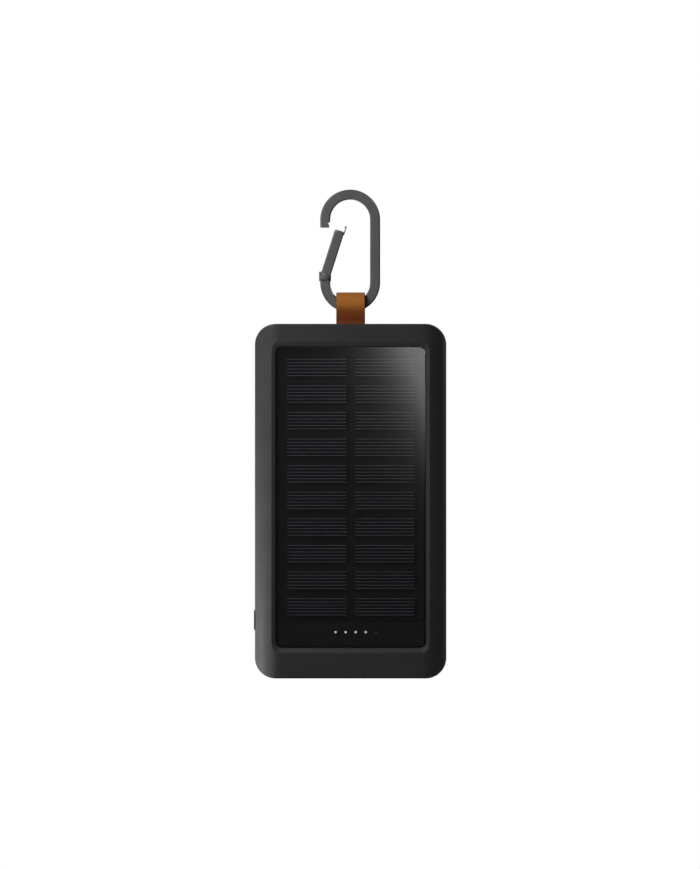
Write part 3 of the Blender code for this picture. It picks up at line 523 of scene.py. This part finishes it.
def edge_drop(inset):
    """How far the rounded edge has fallen, at some distance in from the outline."""
    near = np.clip(EDGE_R - inset, 0, EDGE_R)
    return EDGE_R - np.sqrt(EDGE_R**2 - near**2)


def casing_loop():
    """The casing's outline as seen from the front, with its outward normals."""
    return rounded_loop(
        (-HALF_W, 0), (HALF_W, HEIGHT), OUTLINE_R, CORNER_STEPS, SHORT_STEPS, LONG_STEPS
    )


def window_loop(depth):
    """The window's sloped rim at some distance in front of the middle plane."""
    rise = depth - RIM_EDGE
    side, end = rise / RIM_SIDE_SLOPE, rise / RIM_END_SLOPE
    low = (-WINDOW_HALF - side, WINDOW_Z[0] - end)
    high = (WINDOW_HALF + side, WINDOW_Z[1] + end)
    radius = WINDOW_R + rise * RIM_R_GROWTH
    return rounded_loop(low, high, radius, CORNER_STEPS, SHORT_STEPS, LONG_STEPS)[0]


HALVINGS = 40


def rim_crest():
    """Where the sloped rim meets the casing's front: the flat points and their depth."""
    low = np.full(len(casing_loop()[0]), RIM_EDGE)
    high = np.full(len(low), HALF_T + 0.1 * MM)
    for _ in range(HALVINGS):
        middle = (low + high) / 2
        ring = np.array([window_loop(depth)[i] for i, depth in enumerate(middle)])
        inside = middle < half_depth(ring[:, 0])
        low = np.where(inside, middle, low)
        high = np.where(inside, high, middle)
    return ring, middle


SKIN_POINTS = 500
SIDE_POINTS = 40
TURN_COUNTS_AS = 4 * MM


def skin_table(edge, normal, goal):
    """Close points on the skin, from the outline to a goal on a face: flat places and heights."""
    share = np.linspace(0, 1, SKIN_POINTS) ** 2
    flat = edge + (goal - edge) * share[:, None]
    return flat, half_depth(flat[:, 0]) - edge_drop((edge - flat) @ normal)


def at_height(table, height):
    """The flat place where the skin has some height."""
    flat, heights = table
    return np.array([np.interp(height, heights, flat[:, k]) for k in (0, 1)])


def skin_row(table, low, count):
    """Points over the skin from a height to the goal, closer where it curves: x, height, z."""
    flat, heights = table
    above = heights > low
    side = np.linspace(low, heights[above][0], SIDE_POINTS, endpoint=False)
    start = np.array([at_height(table, height) for height in side])
    places = np.vstack([start, flat[above]])
    levels = np.concatenate([side, heights[above]])
    path = np.column_stack([places, levels])
    step = np.diff(path, axis=0)
    length = np.linalg.norm(step, axis=1)
    along = np.arctan2(step[:, 2], np.linalg.norm(step[:, :2], axis=1))
    turn = np.abs(np.diff(along, prepend=along[0]))
    measure = np.concatenate([[0], np.cumsum(length + turn * TURN_COUNTS_AS)])
    wanted = np.linspace(0, measure[-1], count)
    return np.array([np.interp(wanted, measure, path[:, k]) for k in (0, 2, 1)]).T


def skin_rings(goal, low, count, sign):
    """Rings over one face of the casing, from a height to a goal outline."""
    edge, normal = casing_loop()
    rows = [skin_row(skin_table(*one), low, count) for one in zip(edge, normal, goal)]
    rings = np.swapaxes(np.array(rows), 0, 1)
    rings[:, :, 1] *= sign
    return list(rings)


def level_ring(goal, height, sign, inset=0.0):
    """The casing's section at one height, or one set in from it."""
    edge, normal = casing_loop()
    tables = [skin_table(*one) for one in zip(edge, normal, goal)]
    flat = np.array([at_height(table, height) for table in tables])
    return lift(flat - normal * inset, "Y", sign * height)


def rear_goal():
    """The outline on the casing's flat middle that its skin runs towards."""
    half, margin = 30 * MM, 9 * MM
    low, high = (-half, margin), (half, HEIGHT - margin)
    return rounded_loop(low, high, 2.5 * MM, CORNER_STEPS, SHORT_STEPS, LONG_STEPS)[0]


def towards(one, two, distance):
    """A ring moved some distance from one ring towards another."""
    gap = two - one
    return one + gap * (distance / np.linalg.norm(gap, axis=1))[:, None]


PARTING_CHAMFER = 0.2 * MM
CREST_EDGE = 0.12 * MM
WALL_STEP = 3 * MM
SIDE_STEP = 0.79 * MM
SIDE_RINGS = 8
FRONT_RINGS = 70
REAR_RINGS = 44


def make_front_casing():
    """One closed surface: inside, round the parting edge, over the front, into the window."""
    goal = rear_goal()
    part = CASING_HIGH.y
    crest_flat, crest_depth = rim_crest()
    crest = lift(crest_flat, "Y", -crest_depth)
    flat_lip = window_loop(RIM_EDGE)
    lip = lift(flat_lip, "Y", -RIM_EDGE)

    rings = [level_ring(goal, height, -1, WALL) for height in (INNER_FACE, WALL_STEP)]
    rings += [level_ring(goal, height, 1, WALL) for height in (0.0, WALL_STEP, part)]
    rings.append(level_ring(goal, part, 1, PARTING_CHAMFER))
    side_top = part - PARTING_CHAMFER
    rings += [level_ring(goal, side_top - i * SIDE_STEP, 1) for i in range(SIDE_RINGS)]
    face = skin_rings(crest_flat, 0.0, FRONT_RINGS, -1)
    rings += face[:-1]
    rings += [towards(face[-1], face[-2], CREST_EDGE), crest, towards(crest, lip, CREST_EDGE)]
    rings += [crest + (lip - crest) * share for share in (0.35, 0.7)]
    rings += [lift(flat_lip, "Y", -depth) for depth in np.linspace(RIM_EDGE, POCKET_FLOOR, 4)]
    return skin_over("front_shell", rings, smooth_angle=32)


STRAP_SLOT_HALF = (STRAP_HALF + 0.4 * MM, 2.0 * MM)
STRAP_SLOT_R = 0.8 * MM
THUMB_HALF = 4.0 * MM
THUMB_Y = (-6.4 * MM, -3.0 * MM)
THUMB_R = 1.2 * MM
THUMB_TOP = 1.1 * MM
FLAP_POCKET_R = 0.5 * MM
FLAP_POCKET_TOP = 1.7 * MM
PORT_CORNERS = (("usb_a_shell", 0.8 * MM), ("usb_c_shell", 1.9 * MM))
PORT_OPENING_TOP = 5 * MM
THROUGH = 4 * MM
BUTTON_HALF_W = 2.3 * MM
BUTTON_HALF_L = 4.45 * MM


def box_with_gap(name):
    """A node's lowest and highest (x, y), with a gap all round."""
    low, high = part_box(name)
    return (low.x - GAP, low.y - GAP), (high.x + GAP, high.y + GAP)


def button_pill(grow, corner, long=1):
    """The button's outline as (y, z), grown by some distance."""
    low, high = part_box("power_button")
    middle = (low.z + high.z) / 2
    half_w, half_l = BUTTON_HALF_W + grow, BUTTON_HALF_L + grow
    radius = half_w - 0.01 * MM
    return rounded_loop(
        (-half_w, middle - half_l), (half_w, middle + half_l), radius, corner, 1, long
    )[0]


def cut_front_casing(shell):
    """The strap slot, the button's hole, the flap's pocket with its thumb notch, the port openings."""
    slot_x, slot_y = STRAP_SLOT_HALF
    slot, _ = rounded_loop((-slot_x, -slot_y), (slot_x, slot_y), STRAP_SLOT_R, 6)
    pocket, _ = rounded_loop(*box_with_gap("port_cover"), FLAP_POCKET_R, 5)
    notch, _ = rounded_loop((-THUMB_HALF, THUMB_Y[0]), (THUMB_HALF, THUMB_Y[1]), THUMB_R, 8)
    cutters = [
        prism("slot", slot, "Z", HEIGHT - THROUGH, HEIGHT + THROUGH),
        prism("hole", button_pill(GAP, 12), "X", -HALF_W - THROUGH, -HALF_W + THROUGH),
        prism("pocket", pocket, "Z", -THROUGH, FLAP_POCKET_TOP),
        prism("notch", notch, "Z", -THROUGH, THUMB_TOP),
    ]
    for name, corner in PORT_CORNERS:
        opening, _ = rounded_loop(*box_with_gap(name), corner, 8)
        cutters.append(prism(name + "_opening", opening, "Z", -THROUGH, PORT_OPENING_TOP))
    return combine(shell, "DIFFERENCE", *cutters)


SCREW_SEAT_DOWN = 1.7 * MM
SCREW_BORE_R = 2.6 * MM


def make_rear_casing():
    """One closed surface: inside, round the parting edge and over the back."""
    goal = rear_goal()
    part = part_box("rear_casing")[0].y
    rings = [level_ring(goal, height, 1, WALL) for height in (HALF_T - WALL, part)]
    rings.append(level_ring(goal, part, 1, PARTING_CHAMFER))
    rings += skin_rings(goal, part + PARTING_CHAMFER, REAR_RINGS, 1)
    shell = skin_over("rear_shell", rings, smooth_angle=32)
    bores = []
    for number in range(1, SCREWS + 1):
        low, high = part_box(f"casing_screw_{number}")
        centre = (low + high) / 2
        seat = Vector((centre.x, high.y - SCREW_SEAT_DOWN, centre.z))
        outside = Vector((centre.x, high.y + THROUGH, centre.z))
        bores.append(rod(f"bore_{number}", SCREW_BORE_R, seat, outside, 48))
    return combine(shell, "DIFFERENCE", *bores)


def make_screw(number):
    """A socket screw: domed head, hexagonal recess and shank."""
    low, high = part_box(f"casing_screw_{number}")
    centre = (low + high) / 2
    head_r = (high.x - low.x) / 2
    shank_r = 1.0 * MM
    socket_r = 1.0 * MM
    angles, circle = unit_circle(48)
    from_flat = (angles + pi / 6) % (pi / 3) - pi / 6
    hexagon = circle * (cos(pi / 6) / np.cos(from_flat))[:, None]
    top = high.y
    head_base = top - 1.4 * MM
    profile = [
        (circle, shank_r * 0.6, low.y),
        (circle, shank_r, low.y + 0.5 * MM),
        (circle, shank_r, head_base),
        (circle, head_r - 0.15 * MM, head_base),
        (circle, head_r, top - 1.2 * MM),
        (circle, head_r, top - 0.5 * MM),
        (circle, head_r - 0.1 * MM, top - 0.25 * MM),
        (circle, head_r - 0.35 * MM, top - 0.06 * MM),
        (circle, head_r - 0.7 * MM, top),
        (hexagon, socket_r + 0.12 * MM, top),
        (hexagon, socket_r, top - 0.1 * MM),
        (hexagon, socket_r, top - 0.8 * MM),
    ]
    middle = np.array((centre.x, centre.z))
    rings = [lift(middle + shape * radius, "Y", y) for shape, radius, y in profile]
    obj = skin_over(f"screw_{number}", rings, smooth_angle=35)
    finished(level(obj), "casing", "steel", f"casing_screw_{number}")


# ---------------------------------------------------------------- panel

COVER_FIT = 0.08 * MM
COVER_EDGE = 0.07 * MM
COVER_BORDER = 0.4 * MM


def make_cover():
    """A clear plate with eased edges. Its flat faces have an inner ring, which keeps them flat."""
    front, back = COVER_LOW.y, COVER_HIGH.y
    rings = []
    for inset, y in (
        (COVER_BORDER, back),
        (COVER_EDGE, back),
        (0.0, back - COVER_EDGE),
        (0.0, front + COVER_EDGE),
        (COVER_EDGE * 0.3, front + COVER_EDGE * 0.3),
        (COVER_EDGE, front),
        (COVER_BORDER, front),
    ):
        inset += COVER_FIT
        half = WINDOW_HALF - inset
        low, high = (-half, WINDOW_Z[0] + inset), (half, WINDOW_Z[1] - inset)
        outline, _ = rounded_loop(low, high, WINDOW_R - inset, 12)
        rings.append(lift(outline, "Y", y))
    finished(skin_over("gloss_cover", rings), "casing", "clear_cover", "panel_cover")


FINGERS = 6
FINGER_INSET = 0.6 * MM
FINGER_END = 0.35 * MM
FINGER_W = 0.2 * MM
FINGER_T = 0.035 * MM
FINGER_SUNK = 0.01 * MM


def make_fingers():
    """The printed silver lines across all the cells, each a low ridge."""
    bm = bmesh.new()
    for number in range(1, CELLS + 1):
        low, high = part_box(f"solar_cell_{number:02d}")
        for z in np.linspace(low.z + FINGER_INSET, high.z - FINGER_INSET, FINGERS):
            rows = []
            for x in (low.x + FINGER_END, high.x - FINGER_END):
                row = []
                for across, out in ((-1, 0.0), (-0.6, 1.0), (0.6, 1.0), (1, 0.0)):
                    y = low.y + FINGER_SUNK - FINGER_T * out
                    row.append(bm.verts.new((x, y, z + across * FINGER_W / 2)))
                rows.append(row)
            for j in range(4):
                k = (j + 1) % 4
                bm.faces.new((rows[0][j], rows[1][j], rows[1][k], rows[0][k]))
            bm.faces.new(rows[0])
            bm.faces.new(list(reversed(rows[1])))
    obj = from_bmesh("cell_fingers", bm, 20)
    obj.data.materials.append(SILVER.material)
    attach(obj, "casing")


# ---------------------------------------------------------------- button and port cover

BUTTON_EDGE = 0.45 * MM
BUTTON_DISH = (
    (0.75 * MM, 0.0),
    (1.0 * MM, 0.03 * MM),
    (1.35 * MM, 0.07 * MM),
    (1.8 * MM, 0.09 * MM),
)
FLANGE_LIP = 0.8 * MM
FLANGE_T = 0.7 * MM
FLANGE_STEP = 0.05 * MM


def make_button():
    """A pill-shaped key with a shallow dish, and the flange that keeps it in."""
    low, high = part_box("power_button")
    face, back = low.x, high.x

    def ring(grow, x):
        return lift(button_pill(grow, 14, 8), "X", x)

    rings = [
        ring(FLANGE_LIP, back),
        ring(FLANGE_LIP, back - FLANGE_T),
        ring(0.0, back - FLANGE_T - FLANGE_STEP),
    ]
    for angle in np.linspace(0, pi / 2, 7):
        rings.append(ring(-BUTTON_EDGE * (1 - cos(angle)), face + BUTTON_EDGE * (1 - sin(angle))))
    rings += [ring(-inset, face + dish) for inset, dish in BUTTON_DISH]
    obj = skin_over("button_key", rings)
    finished(level(obj), "power_button", "button", "power_button")


FLAP_CORNER = 0.9 * MM
FLAP_EDGE = 0.28 * MM
FLAP_TOP = 1.4 * MM
BEAD_R = 0.65 * MM
BEAD_END = 1.0 * MM
PLUGS = (("usb_a_shell", 11.8 * MM, 4.2 * MM), ("usb_c_shell", 7.4 * MM, 1.8 * MM))
PLUG_CORNER = 0.8 * MM
PLUG_BASE = 1.2 * MM


def make_port_cover():
    """A rubber flap with rounded edges, its hinge bead, and a plug for each port."""
    low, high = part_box("port_cover")
    axis_y, axis_z = HINGE_AT["port_cover_hinge"][1:]
    outline, _ = rounded_loop((low.x, low.y), (high.x, axis_y + 0.1 * MM), FLAP_CORNER, 8)
    flap = prism("port_flap", outline, "Z", low.z + 0.02 * MM, FLAP_TOP, FLAP_EDGE, 4)
    end = high.x - BEAD_END
    bead = rod("bead", BEAD_R, (-end, axis_y, axis_z), (end, axis_y, axis_z), 32)
    soften(bead, 0.2 * MM, 3, 70)
    pieces = [bake(bead)]
    bake(flap)
    for name, width, height in PLUGS:
        port_low, port_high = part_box(name)
        x = (port_low.x + port_high.x) / 2
        half_w, half_h = width / 2, height / 2
        outline, _ = rounded_loop((x - half_w, -half_h), (x + half_w, half_h), PLUG_CORNER, 8)
        pieces.append(bake(prism("plug", outline, "Z", PLUG_BASE, high.z, 0.25 * MM, 4)))
    combine(flap, "UNION", *pieces)
    finished(level(flap), "port_cover", "rubber", "port_cover")


# ---------------------------------------------------------------- strap

STRAP_T = 1.15 * MM
STRAP_EDGE = 0.38 * MM
STRAP_RINGS = 260
PLY_GAP = 0.2 * MM
NECK_UP = 1.67 * MM
FOOT_DOWN = 1.08 * MM


def strap_centre_line(count):
    """The closed path of the strap's middle, as (y, z): eye, two plies, and round the anchor pin."""
    _, loop_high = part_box("strap_loop")
    _, tail_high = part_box("strap_tail")
    pin_low, pin_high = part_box("strap_anchor_pin")
    eye = np.array((0.0, HINGE_AT["carabiner_swing"][2]))
    eye_r = loop_high.y - STRAP_T / 2
    pin = np.array((0.0, (pin_low.z + pin_high.z) / 2))
    pin_r = tail_high.y - STRAP_T / 2
    ply = (STRAP_T + PLY_GAP) / 2
    neck = np.array((ply, HEIGHT + NECK_UP))
    foot = np.array((ply, tail_high.z - FOOT_DOWN))

    def touch(point, centre, radius):
        """The angle at which a line from the point touches the circle."""
        gap = point - centre
        turn = acos(radius / np.hypot(*gap))
        return atan2(gap[1], gap[0]) + (turn if gap[1] < 0 else -turn)

    half = []
    for angle in np.linspace(pi / 2, touch(neck, eye, eye_r), 60):
        half.append(eye + eye_r * np.array((cos(angle), sin(angle))))
    half += [neck, foot]
    for angle in np.linspace(touch(foot, pin, pin_r), -pi / 2, 30):
        half.append(pin + pin_r * np.array((cos(angle), sin(angle))))
    right = np.array(half)
    left = right[::-1][1:-1] * np.array((-1, 1))
    path = np.vstack([right, left, right[:1]])
    length = np.concatenate([[0], np.cumsum(np.linalg.norm(np.diff(path, axis=0), axis=1))])
    wanted = np.arange(count) * length[-1] / count
    even = np.array([np.interp(wanted, length, path[:, k]) for k in (0, 1)]).T
    for _ in range(5):
        even = (np.roll(even, 1, 0) + 2 * even + np.roll(even, -1, 0)) / 4
    return even


def make_strap():
    """One band of leather with rounded edges, swept round its closed path."""
    path = strap_centre_line(STRAP_RINGS)
    along = np.roll(path, -1, 0) - np.roll(path, 1, 0)
    along /= np.linalg.norm(along, axis=1)[:, None]
    out = np.column_stack([along[:, 1], -along[:, 0]])
    half_t = STRAP_T / 2
    section, _ = rounded_loop((-STRAP_HALF, -half_t), (STRAP_HALF, half_t), STRAP_EDGE, 5, 24, 2)
    rings = []
    for point, normal in zip(path, out):
        rings.append([(x, *(point + normal * n)) for x, n in section])
    obj = skin_over("leather_strap", rings, looped=True, smooth_angle=60)
    dress(obj, "leather")
    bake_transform(obj)
    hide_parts("strap_loop", "strap_tail")


# ---------------------------------------------------------------- carabiner

# The ring's bar runs from the nose, over the high arc and the low arc, to the seat of the gate
_, RING_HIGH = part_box("carabiner_frame")
PIVOT = Vector(HINGE_AT["gate_pivot"])
GATE_OPEN = radians(17.7)
RING_X = -0.2 * MM
RING_OUT_R = RING_HIGH.x - RING_X
RING_IN_R = 8.62 * MM
RING_HALF_D = RING_HIGH.y
HIGH_ARC_Z = RING_HIGH.z - RING_OUT_R
LOW_ARC_Z = HIGH_ARC_Z - 27.3 * MM
ARC_STEPS = 72
NOSE_Z = 195.45 * MM
NOSE_SOFT = 0.25 * MM
RELIEF_X = (-9.3 * MM, -7.0 * MM)
RELIEF_Z = (NOSE_Z - 1.0 * MM, NOSE_Z + 2.5 * MM)
SEAT_R = 2.4 * MM
SEAT_TOP = PIVOT.z - 0.6 * MM

# The lug stands in the gate's fork, on a root that holds the spring's bore
LUG_X = (-13.68 * MM, -8.5 * MM)
LUG_Z = (PIVOT.z - 2.45 * MM, PIVOT.z + 1.9 * MM)
LUG_HALF_D = 0.8 * MM
LUG_ROOT_X = (PIVOT.x - 1.7 * MM, PIVOT.x + 1.6 * MM)
LUG_ROOT_Z = (LUG_Z[0] - 1.9 * MM, PIVOT.z)
LUG_ROOT_HALF_D = 0.78 * MM
SPRING_BORE_R = 0.56 * MM
SPRING_BORE_X = PIVOT.x + 1.6 * MM
SPRING_BORE_Z = (PIVOT.z - 4.9 * MM, PIVOT.z + 4.0 * MM)
REACH = 4 * MM


def bar_section(shrink):
    """The bar's section with its eased edges, as (radial, depth) offsets."""
    half = (RING_OUT_R - RING_IN_R) / 2 - shrink
    depth = RING_HALF_D - shrink
    edge_w, edge_d = 0.6 * MM, 0.9 * MM
    ease, sag = 0.15 * MM, 0.02 * MM
    corner = [
        (half, depth - edge_d - ease),
        (half - sag, depth - edge_d),
        (half - edge_w, depth - sag),
        (half - edge_w - ease, depth),
    ]
    other = [(-u, v) for u, v in reversed(corner)]
    return corner + other + [(-u, -v) for u, v in corner + other]


def ring_stations():
    """The bar's run from nose to seat: middle (x, z), outward direction and how much it is shrunk."""
    middle_r = (RING_OUT_R + RING_IN_R) / 2
    bar_x = RING_X - middle_r
    left = (-1.0, 0.0)
    stations = []
    for rise, shrink in ((0.0, 1.0), (0.3, 0.3), (1.0, 0.0)):
        stations.append(((bar_x, NOSE_Z + NOSE_SOFT * rise), left, NOSE_SOFT * shrink))
    for centre_z, first in ((HIGH_ARC_Z, pi), (LOW_ARC_Z, 0.0)):
        for i in range(ARC_STEPS + 1):
            angle = first - pi * i / ARC_STEPS
            x, z = cos(angle), sin(angle)
            stations.append(((RING_X + middle_r * x, centre_z + middle_r * z), (x, z), 0.0))
    stations.append(((bar_x, SEAT_TOP), left, 0.0))
    return stations


def make_ring():
    """The bar swept round, with the gate's seat and lug, the spring's bore and the hook's notch."""
    rings = []
    for (x, z), (out_x, out_z), shrink in ring_stations():
        rings.append([(x + out_x * u, v, z + out_z * u) for u, v in bar_section(shrink)])
    ring = skin_over("carabiner_ring", rings)

    across = Vector((0, REACH, 0))
    combine(ring, "DIFFERENCE", rod("seat", SEAT_R, PIVOT - across, PIVOT + across, 96))
    lug_outline, _ = rounded_loop(*zip(LUG_X, LUG_Z), 0.4 * MM, 6)
    root_outline, _ = rounded_loop(*zip(LUG_ROOT_X, LUG_ROOT_Z), 0.2 * MM, 3)
    lug = bake(prism("lug", lug_outline, "Y", -LUG_HALF_D, LUG_HALF_D, 0.15 * MM, 3))
    root = prism("root", root_outline, "Y", -LUG_ROOT_HALF_D, LUG_ROOT_HALF_D)
    combine(ring, "UNION", lug, root)
    bore_low, bore_high = [(SPRING_BORE_X, 0, z) for z in SPRING_BORE_Z]
    notch = np.array([(-9.8, 1.6), (-9.8, 1.9), (-9.2, 2.15), (-9.2, 1.45)])
    cutters = [
        block("relief", (RELIEF_X[0], -REACH, RELIEF_Z[0]), (RELIEF_X[1], REACH, RELIEF_Z[1])),
        prism("notch", notch * MM + np.array((0, NOSE_Z)), "Y", -REACH, REACH),
        rod("bore", SPRING_BORE_R, bore_low, bore_high, 24),
    ]
    combine(ring, "DIFFERENCE", *cutters)
    finished(level(ring), "carabiner", "gunmetal", "carabiner_frame")


GATE_HALF = 2.165 * MM
GATE_LENGTH = 20.65 * MM
GATE_EDGE = 0.55 * MM
FORK_HALF = 1.1 * MM
FORK_TOP = 3.5 * MM
FORK_EDGE = 0.4 * MM
HOOK_HALF_D = 1.2 * MM
HOOK_EDGE = 0.06 * MM


def make_gate():
    """The gate is drawn shut about its pivot, then turned open."""
    heel = [(GATE_HALF * cos(a), GATE_HALF * sin(a)) for a in np.linspace(pi, 2 * pi, 25)]
    outline = np.array(heel + [(GATE_HALF, GATE_LENGTH), (-GATE_HALF, GATE_LENGTH)])
    gate = bake(prism("gate_bar", outline, "Y", -RING_HALF_D, RING_HALF_D, GATE_EDGE, 1))
    fin = np.array(
        [
            (2.45, 19.45),
            (2.45, 23.0),
            (2.2, 23.35),
            (1.95, 23.35),
            (1.95, 22.95),
            (1.4, 22.85),
            (1.4, 22.5),
            (1.95, 22.5),
            (1.95, 20.35),
            (1.165, 20.05),
            (1.165, 18.75),
        ]
    )
    hook = bake(prism("fin", fin * MM, "Y", -HOOK_HALF_D, HOOK_HALF_D, HOOK_EDGE, 2))
    combine(gate, "UNION", hook)
    wide = 2 * GATE_HALF
    slot = block("fork", (-wide, -FORK_HALF, -wide), (wide, FORK_HALF, FORK_TOP))
    soften(slot, FORK_EDGE)
    combine(gate, "DIFFERENCE", bake(slot))
    gate.data.transform(Matrix.Translation(PIVOT) @ Matrix.Rotation(GATE_OPEN, 4, "Y"))
    finished(level(gate), "gate", "gunmetal", "carabiner_gate")


RIVET_R = 0.8 * MM
RIVET_HEAD_T = 0.35 * MM


def make_rivet():
    """The gate's rivet, with a low domed head on each side."""
    low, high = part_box("gate_pin")
    head_r = (high.x - low.x) / 2
    base = high.y - RIVET_HEAD_T
    _, circle = unit_circle(40)
    profile = [(RIVET_R, base), (head_r, base)]
    step = pi / 14
    for i in range(2, 7):
        profile.append((head_r * cos((i - 1) * step), base + RIVET_HEAD_T * sin(i * step)))
    front = [lift(circle * radius, "Y", y) for radius, y in profile]
    back = [ring * np.array((1, -1, 1)) for ring in reversed(front)]
    obj = skin_over("gate_rivet", [ring + np.array(PIVOT) for ring in back + front])
    finished(obj, "carabiner", "gunmetal", "gate_pin")


# ---------------------------------------------------------------- build

finished(cut_front_casing(make_front_casing()), "casing", "casing", "front_casing")
finished(make_rear_casing(), "casing", "casing", "rear_casing")
for screw_number in range(1, SCREWS + 1):
    make_screw(screw_number)
make_cover()
make_fingers()
make_button()
make_port_cover()
make_strap()
make_ring()
make_gate()
make_rivet()

# ---------------------------------------------------------------- light, floor and camera

MIDDLE = Vector((0, 0, 0.1))
FOOT = Vector((0, 0, 0.02))
HEAD = Vector((0, 0, 0.13))


def area_light(name, place_at, size, power, target=MIDDLE):
    """A rectangular lamp aimed at a point."""
    data = bpy.data.lights.new(name, "AREA")
    data.shape = "RECTANGLE"
    data.size, data.size_y = size
    data.energy = power
    obj = bpy.data.objects.new(name, data)
    obj.location = place_at
    obj.rotation_euler = (target - Vector(place_at)).to_track_quat("-Z", "Y").to_euler()
    bpy.context.scene.collection.objects.link(obj)
    return obj


def keep_off(lamps, *names):
    """The lamps leave the named objects unlit."""
    shaded = bpy.data.collections.new("unlit_by_" + lamps[0].name)
    for name in names:
        shaded.objects.link(bpy.data.objects[name])
    for member in shaded.collection_objects:
        member.light_linking.link_state = "EXCLUDE"
    for lamp in lamps:
        lamp.light_linking.receiver_collection = shaded


def make_lights():
    """A key lamp, a broad one behind, and four fills that no surface mirrors."""
    key = area_light("key_box", (-0.35, -0.2, 0.52), (0.16, 0.16), 2.2)
    rear = area_light("rear_box", (0.3, 0.55, 0.45), (0.4, 0.4), 3.0)
    right = area_light("right_box", (0.5, -0.13, 0.25), (0.3, 0.3), 0.4)
    side = area_light("side_box", (-0.16, 0.0, -0.005), (0.04, 0.06), 0.93, FOOT)
    below = area_light("low_box", (-0.1, -0.4, -0.02), (0.3, 0.1), 0.12)
    front = area_light("front_box", (-0.12, -0.2, 0.17), (0.12, 0.12), 0.32, HEAD)
    for fill in (right, side, below, front):
        fill.visible_glossy = False
    keep_off([key, rear], "gloss_cover")
    keep_off([side, below, front], "gloss_cover", "studio_floor")
    keep_off([right], "gloss_cover", "carabiner_ring", "gate_bar")


def make_world():
    """White to the camera, and a dim grey room to the charger."""
    world = bpy.data.worlds.new("studio")
    bpy.context.scene.world = world
    world.use_nodes = True
    nodes, links = world.node_tree.nodes, world.node_tree.links
    room = nodes["Background"]
    room.inputs["Strength"].default_value = 0.06
    white = nodes.new("ShaderNodeBackground")
    for light in (room, white):
        light.inputs["Color"].default_value = (1, 1, 1, 1)
    path = nodes.new("ShaderNodeLightPath")
    mix = nodes.new("ShaderNodeMixShader")
    links.new(path.outputs["Is Camera Ray"], mix.inputs[0])
    links.new(room.outputs[0], mix.inputs[1])
    links.new(white.outputs[0], mix.inputs[2])
    links.new(mix.outputs[0], nodes["World Output"].inputs["Surface"])


FLOOR_Z = -0.032
FLOOR_R = 3.0
FLOOR_FADE = (0.12, 0.7)


def make_floor():
    """A pale floor, fading to the white of the studio."""
    bm = bmesh.new()
    bmesh.ops.create_circle(bm, cap_ends=True, radius=FLOOR_R, segments=96)
    bmesh.ops.translate(bm, vec=(0, 0, FLOOR_Z), verts=bm.verts)
    floor = from_bmesh("studio_floor", bm)
    made = Finish("studio_floor")
    reach = made.node("ShaderNodeVectorMath", {0: made.place}, operation="LENGTH")
    far = made.between(reach.outputs["Value"], *FLOOR_FADE, 0.0, 1.0)
    seen = made.node("ShaderNodeLightPath").outputs["Is Camera Ray"]
    made.set(Base_Color=made.mix(seen, (0.2, 0.2, 0.2), (0.86, 0.86, 0.86)), Roughness=0.8)
    glow = made.node("ShaderNodeEmission", {"Color": (1, 1, 1, 1), "Strength": 1.0})
    made.blend_shaders(made.math("MULTIPLY", far, seen), made.shader, glow)
    floor.data.materials.append(made.material)


STRIP_SIZE = (0.022, 0.09)
STRIP_AT = (0.0366, -0.25, 0.1359)
STRIP_LEAN = radians(-28.4)


def make_strip_lamp():
    """A slanted strip that only the gloss cover mirrors: it brightens the panel's upper corner."""
    bm = bmesh.new()
    bmesh.ops.create_grid(bm, x_segments=1, y_segments=1, size=0.5)
    bmesh.ops.rotate(bm, cent=(0, 0, 0), matrix=Matrix.Rotation(pi / 2, 3, "X"), verts=bm.verts)
    bmesh.ops.scale(bm, vec=(STRIP_SIZE[0], 1, STRIP_SIZE[1]), verts=bm.verts)
    strip = from_bmesh("strip_lamp", bm)
    strip.location = STRIP_AT
    strip.rotation_euler = (0, STRIP_LEAN, 0)
    made = Finish("strip_lamp")
    light = made.node("ShaderNodeEmission", {"Strength": 7.6})
    made.feed(made.output.inputs["Surface"], light.outputs[0])
    strip.data.materials.append(made.material)
    strip.visible_camera = False
    strip.visible_diffuse = False
    strip.visible_shadow = False
    strip.visible_transmission = False
    only = bpy.data.collections.new("mirrors_the_strip")
    only.objects.link(bpy.data.objects["gloss_cover"])
    strip.light_linking.receiver_collection = only


VIEW_HEIGHT = 0.3768
VIEW_AT = (-0.28 * MM, -1.0, 0.1058)


def make_camera():
    """A flat view of the charger's front."""
    data = bpy.data.cameras.new("camera")
    data.type = "ORTHO"
    data.ortho_scale = VIEW_HEIGHT
    data.clip_start, data.clip_end = 0.01, 10
    camera = bpy.data.objects.new("camera", data)
    camera.location = VIEW_AT
    camera.rotation_euler = (pi / 2, 0, 0)
    bpy.context.scene.collection.objects.link(camera)
    bpy.context.scene.camera = camera


make_world()
make_floor()
make_lights()
make_strip_lamp()
make_camera()
bpy.context.scene.view_settings.view_transform = "Standard"
